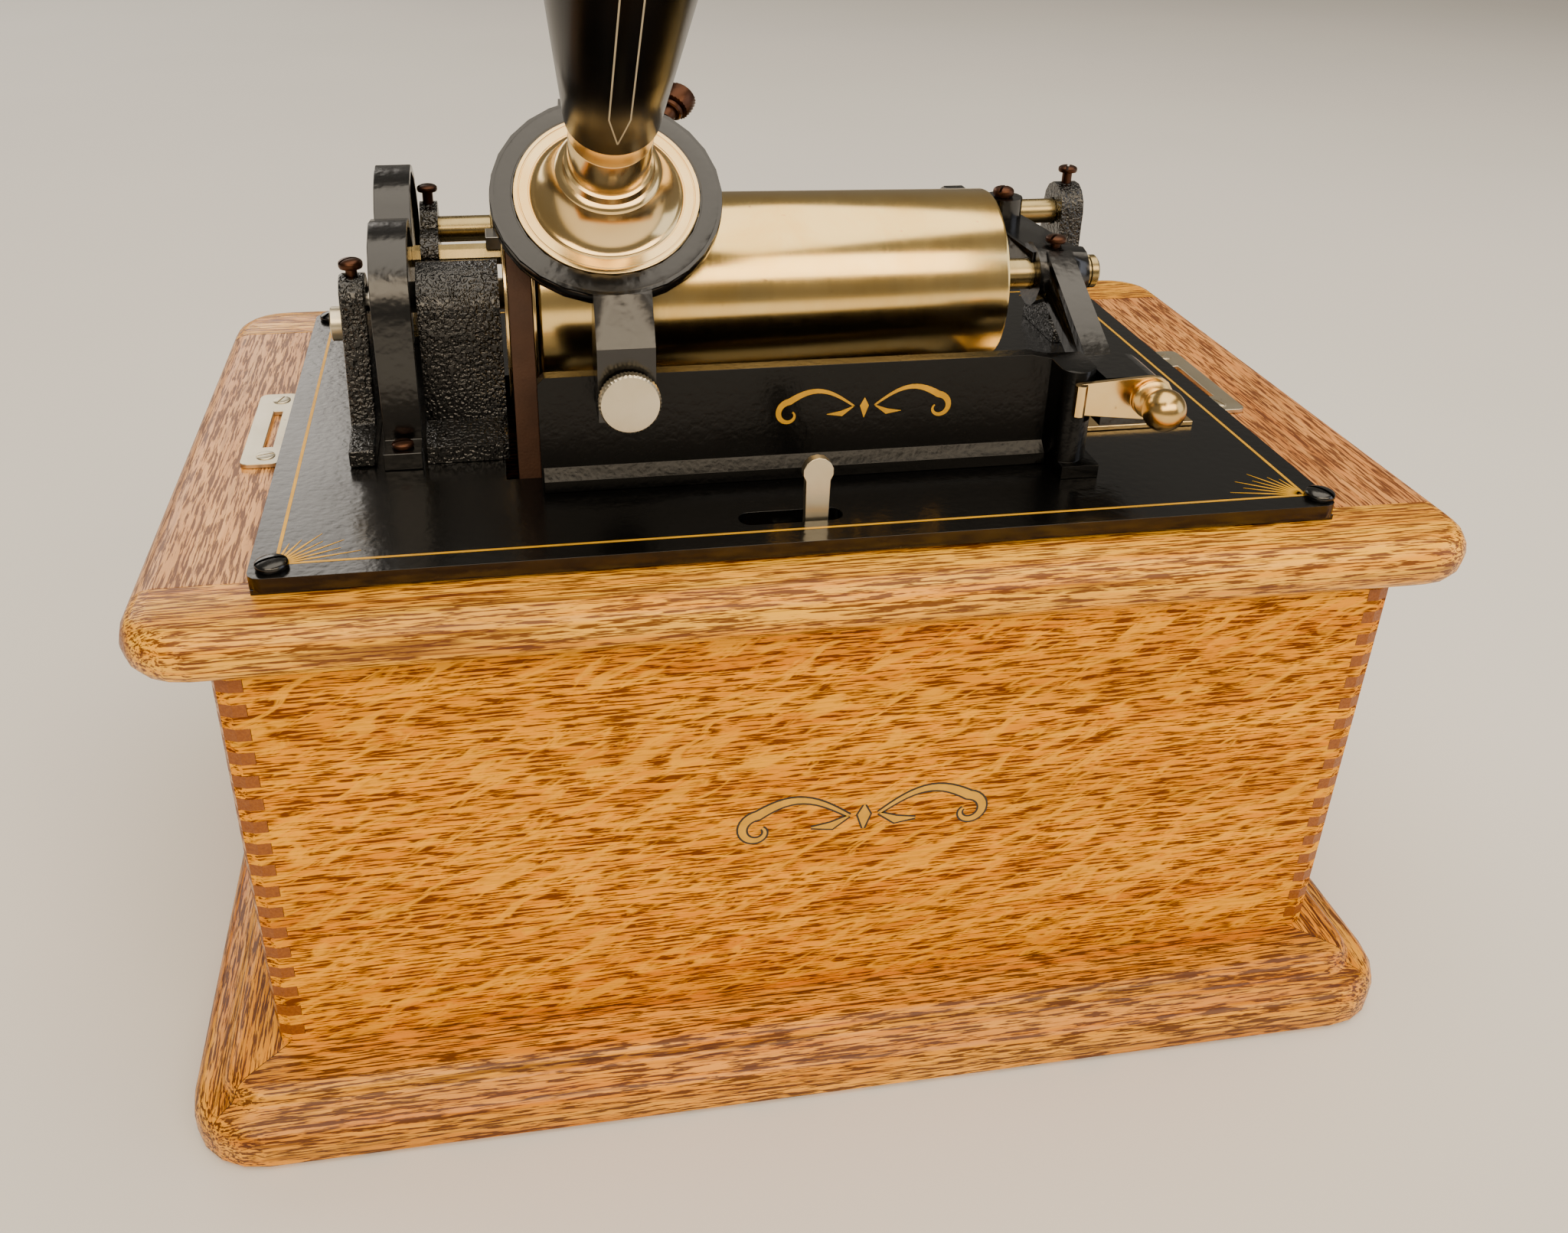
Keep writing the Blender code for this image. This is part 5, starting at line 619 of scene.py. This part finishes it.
def set_screws(name, places, finish_name, body, slot, head, hides=(), shank=None):
    # Heads at (foot, turn of the slot); head is radius, rise, width of the slot and power of the dome
    whole = bmesh.new()
    for foot, turn in places:
        shape = slotted_head(*head)
        settle(shape, foot, Z_AXIS, turn)
        if shank:
            depth, radius = shank
            profile = [(-depth, 0.0), (-depth, radius), (0.01, radius), (0.01, 0.0)]
            merge(whole, lathe(profile, foot, Z_AXIS, 24))
        merge(whole, shape)
    piece(name, whole, finish_name, body, slot, hides)


def build_copper_screws():
    # The crown of each head is the top of its node
    for node, radius, rise, turn, stem in (
            ("pedestal_screw", 2.9, 2.4, 0.5, 1.4), ("cover_screw", 2.6, 1.6, 0.2, 1.3),
            ("gate_pivot_screw", 2.9, 2.6, 0.9, 2.0), ("post_screw_left", 2.7, 1.9, 0.3, 1.4),
            ("post_screw_right", 2.7, 1.9, 1.1, 1.4), ("gate_set_screw", 2.7, 1.9, 0.7, 1.4)):
        low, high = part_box(node)
        foot = Vector(((low.x + high.x) / 2.0, (low.y + high.y) / 2.0, high.z - rise * MM))
        depth = (high.z - low.z) / MM - rise
        set_screws(node + "_slotted", [(foot, turn)], "copper_old", BODY_OF[node], "copper_screw",
                   (radius, rise, 0.7, 0.9), (node,), (depth, stem))


def build_plate_screws():
    corners = ((-120.2, -75.9, 0.35), (116.6, -76.1, 2.1), (-120.2, 77.6, 0.9), (116.6, 77.6, 1.7))
    places = [(Vector((x, y, BED_FACE)) * MM, turn) for x, y, turn in corners]
    set_screws("bed_corner_screws", places, "japan_smooth", "top", "black_japan", (3.5, 2.2, 0.9, 1.0))
    sides = (("lid_catch_left", 1.0, (0.3, 1.2)), ("lid_catch_right", -1.0, (1.9, 0.6)))
    for node, shift, turns in sides:
        low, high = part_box(node)
        across = (low.x + high.x) / 2.0 + shift * MM
        places = [(Vector((across, y, high.z - 0.1 * MM)), turn)
                  for y, turn in zip((low.y + 4.6 * MM, high.y - 4.6 * MM), turns)]
        set_screws(node + "_screws", places, "nickel_satin", "top", "nickel", (2.3, 0.55, 0.5, 1.0))


# Gilding: strokes laid on the japan and the varnish

def stroke(bm, place, path, widths, lift):
    # A thin ribbon along a path of (u, v) points, in millimetres, that place sets on the machine
    edge = None
    fresh = []
    for k, (u, v) in enumerate(path):
        before = Vector(path[max(k - 1, 0)])
        after = Vector(path[min(k + 1, len(path) - 1)])
        run = (after - before).normalized()
        side = Vector((-run.y, run.x)) * widths[k] / 2.0
        ends = [Vector((u + side.x, v + side.y)), Vector((u - side.x, v - side.y))]
        if edge is None:
            pair = [bm.verts.new(place(p.x, p.y, lift)) for p in ends]
            edge = bm.edges.new(pair)
        else:
            grown = bmesh.ops.extrude_edge_only(bm, edges=[edge])["geom"]
            edge = next(g for g in grown if isinstance(g, bmesh.types.BMEdge))
            pair = list(edge.verts)
            old = fresh[-1]
            if (pair[0].co - old[0].co).length > (pair[0].co - old[1].co).length:
                pair.reverse()
            for vert, p in zip(pair, ends):
                vert.co = place(p.x, p.y, lift)
        fresh.append(pair)


def raised(bm, thickness, direction):
    # Gives the strokes their thickness
    bmesh.ops.recalc_face_normals(bm, faces=bm.faces)
    for face in bm.faces:
        if face.normal.dot(direction) < 0.0:
            face.normal_flip()
    grown = bmesh.ops.extrude_face_region(bm, geom=list(bm.faces))
    tops = [g for g in grown["geom"] if isinstance(g, bmesh.types.BMVert)]
    bmesh.ops.translate(bm, vec=direction * thickness, verts=tops)
    bmesh.ops.recalc_face_normals(bm, faces=bm.faces)


def build_pinstripe():
    # A line round the bedplate and a fan of seven rays in each corner
    left, right, front, back = -119.6, 113.8, -74.8, 77.0
    width = 0.75

    def place(u, v, lift):
        return Vector((u, v, BED_FACE + lift)) * MM

    bm = bmesh.new()
    corners = [(left, front), (right, front), (right, back), (left, back)]
    for start, end in zip(corners, corners[1:] + corners[:1]):
        stroke(bm, place, [start, end], [width, width], 0.02)
    lengths = (17.5, 14.0, 16.0, 12.5, 15.0, 11.0, 9.0)
    for x, y in ((left, front), (right, front), (left, back), (right, back)):
        sx = 1 if x == left else -1
        sy = 1 if y == front else -1
        for k, length in enumerate(lengths):
            swing = math.radians(12.0 + 66.0 * k / (len(lengths) - 1))
            far = (x + sx * length * math.cos(swing), y + sy * length * math.sin(swing))
            near = (x + sx * 1.4 * math.cos(swing), y + sy * 1.4 * math.sin(swing))
            middle = ((near[0] + far[0]) / 2.0, (near[1] + far[1]) / 2.0)
            stroke(bm, place, [near, middle, far], [0.7, 0.55, 0.12], 0.03)
    raised(bm, 0.03 * MM, Z_AXIS)
    piece("bed_pinstripe", bm, "gilt", "top", "brass")


def scroll_path(sign, size):
    # A rising stem that winds into a curl
    path, widths = [], []
    for k in range(15):
        share = k / 14.0
        arch = math.sin(share * math.pi * 0.85)
        path.append((sign * size * (0.10 + 0.62 * share), size * (0.02 + 0.17 * arch)))
        widths.append(0.45 + 1.25 * share)
    curl = 0.13 * size
    cx, cy = path[-1][0], path[-1][1] - curl
    for k in range(1, 25):
        share = k / 24.0
        swing = math.pi / 2.0 - sign * share * math.pi * 1.7
        radius = curl * (1.0 - 0.72 * share)
        path.append((cx + radius * math.cos(swing), cy + radius * math.sin(swing)))
        widths.append(1.7 - 1.35 * share)
    return path, [w * size / 26.0 for w in widths]


def build_scrolls():
    # Plain symmetrical scrolls on the case front and on the rail
    def on_case(u, v, lift):
        return Vector((8.0 + u, -87.45 - lift, 68.0 + v)) * MM

    def on_rail(u, v, lift):
        return Vector((13.0 + u, -47.2 - lift, 157.0 + v)) * MM

    for name, place, size, finish_name, body, slot, more, lift in (
            ("case_scroll", on_case, 36.0, "gilt", "case", "brass", 0.0, 0.05),
            ("case_scroll_outline", on_case, 36.0, "ink", "case", "black_japan", 1.0, 0.02),
            ("rail_scroll", on_rail, 25.0, "gilt", "top", "brass", 0.0, 0.05)):
        bm = bmesh.new()
        for sign in (-1.0, 1.0):
            path, widths = scroll_path(sign, size)
            stroke(bm, place, path, [w + more for w in widths], lift)
            leaf = [(sign * size * 0.10, size * 0.02), (sign * size * 0.22, -size * 0.05),
                    (sign * size * 0.36, -size * 0.05)]
            stroke(bm, place, leaf, [size * share + more for share in (0.008, 0.055, 0.004)], lift)
        diamond = [(0.0, size * 0.10), (0.0, size * 0.02), (0.0, -size * 0.10)]
        stroke(bm, place, diamond, [size * share + more for share in (0.004, 0.085, 0.004)], lift)
        raised(bm, 0.02 * MM, -Y_AXIS)
        piece(name, bm, finish_name, body, slot)


# Finishes of the nodes that keep their own shape

DRESSED = {
    "bedplate": ("japan_bed", 0.5), "bearing_housing": ("japan_cast", 0.8),
    "end_pedestal": ("japan_cast", 0.7), "gear_cover": ("japan_smooth", 0.5),
    "front_rail": ("japan_rail", 0.5, True), "back_post_left": ("japan_cast", 0.6),
    "back_post_right": ("japan_cast", 0.8), "gate_post": ("japan_cast", 0.5),
    "gate": ("japan_smooth", 0.0), "reproducer_arm": ("japan_smooth", 0.4),
    "top_left_board": ("oak_tan", 0.25), "top_right_board": ("oak_red", 0.25),
    "top_front_rail": ("oak_rail", 0.0), "top_back_rail": ("oak_rail", 0.0),
    "base_moulding": ("oak_base", 0.0), "case_front": ("oak_front", 0.0),
    "case_back": ("oak_back", 0.0), "case_left": ("oak_side", 0.0), "case_right": ("oak_side", 0.0),
    "bottom_board": ("oak_floor", 0.3), "latch": ("nickel_bright", 0.15),
    "start_lever": ("nickel_satin", 0.2), "lid_catch_left": ("nickel_satin", 0.2),
    "lid_catch_right": ("nickel_satin", 0.2), "blank_plate": ("nickel_bright", 0.2),
    "belt": ("leather", 0.15), "mandrel_pulley": ("nickel_bright", 0.15),
    "mandrel_arbor": ("steel", 0.0), "feed_screw": ("nickel_rod", 0.0),
    "pedestal_cap": ("nickel_satin", 0.0), "crank_escutcheon": ("nickel_bright", 0.0),
    "half_nut": ("steel", 0.15), "stylus_weight": ("nickel_rod", 0.0),
}
PLAIN = {
    "case_hinge_left": "brass_old", "case_hinge_right": "brass_old", "top_hinge_left": "brass_old",
    "top_hinge_right": "brass_old", "motor_frame": "japan_smooth", "spring_barrel": "steel",
    "mainspring": "steel_blued", "winding_shaft": "steel", "second_arbor": "brass_old",
    "drive_arbor": "brass_old", "motor_pulley": "steel", "governor": "brass_old",
}

build_mandrel()
build_rods()
build_gate_pin()
build_knob()
build_clamp()
build_ball()
build_reproducer()
build_ring()
build_horn()
build_copper_screws()
build_plate_screws()
build_pinstripe()
build_scrolls()
for node_name, settings in DRESSED.items():
    dressed(node_name, *settings)
for node_name, finish_name in PLAIN.items():
    coat(node_name, finish_name)


# Stage: pale floor, soft light and the photograph's view

def build_stage():
    material, shader, coordinates = finish("pale_floor")
    tone = cloudy(material, coordinates.outputs["Object"], 3.0, 2.0)
    colour = mixed(material, tone, linear("#DAD8D4"), linear("#E2E0DC"))
    join(material, colour, shader.inputs["Base Color"])
    shader.inputs["Roughness"].default_value = 0.85
    mesh = bpy.data.meshes.new("floor")
    bm = bmesh.new()
    bmesh.ops.create_grid(bm, x_segments=2, y_segments=2, size=3.0)
    bmesh.ops.translate(bm, vec=(0, 0, -0.2 * MM), verts=bm.verts)
    bm.to_mesh(mesh)
    bm.free()
    mesh.materials.append(material)
    floor = bpy.data.objects.new("floor", mesh)
    bpy.context.scene.collection.objects.link(floor)


def soft_light(name, place, target, size, power, tint):
    lamp = bpy.data.lights.new(name, "AREA")
    lamp.shape = "RECTANGLE"
    lamp.size, lamp.size_y = size
    lamp.energy = power
    lamp.color = linear(tint)[:3]
    holder = bpy.data.objects.new(name, lamp)
    holder.location = place
    holder.rotation_euler = (Vector(target) - Vector(place)).to_track_quat("-Z", "Y").to_euler()
    bpy.context.scene.collection.objects.link(holder)


def build_light():
    world = bpy.data.worlds.new("studio")
    world.use_nodes = True
    sky = world.node_tree.nodes["Background"]
    sky.inputs["Color"].default_value = linear("#F6ECDC")
    sky.inputs["Strength"].default_value = 0.22
    bpy.context.scene.world = world
    middle = (0.0, 0.0, 0.14)
    soft_light("window_front", (0.1, -1.7, 1.45), middle, (3.2, 1.0), 56.0, "#FFE9C8")
    soft_light("overhead", (0.1, -0.1, 1.7), middle, (2.6, 1.6), 40.0, "#FFF2DE")
    soft_light("room_back", (-1.1, 1.9, 1.0), middle, (1.7, 1.0), 16.0, "#FFF6EA")
    soft_light("side_fill", (1.7, -0.6, 0.7), middle, (1.2, 1.2), 8.0, "#EEF2FF")


def build_camera():
    view = bpy.data.cameras.new("photograph_view")
    view.sensor_width = 36.0
    view.lens = 32.10
    view.shift_x = 0.02742
    view.shift_y = -0.05647
    view.clip_start = 0.01
    holder = bpy.data.objects.new("photograph_view", view)
    heading, pitch, roll = -0.1819, 1.0813, 0.0197
    turn = Matrix.Rotation(heading, 3, "Z")
    turn = turn @ Matrix.Rotation(pitch, 3, "X") @ Matrix.Rotation(roll, 3, "Z")
    holder.location = Vector((-70.0, -341.2, 286.2)) * MM
    holder.rotation_euler = turn.to_euler()
    bpy.context.scene.collection.objects.link(holder)
    bpy.context.scene.camera = holder


build_stage()
build_light()
build_camera()
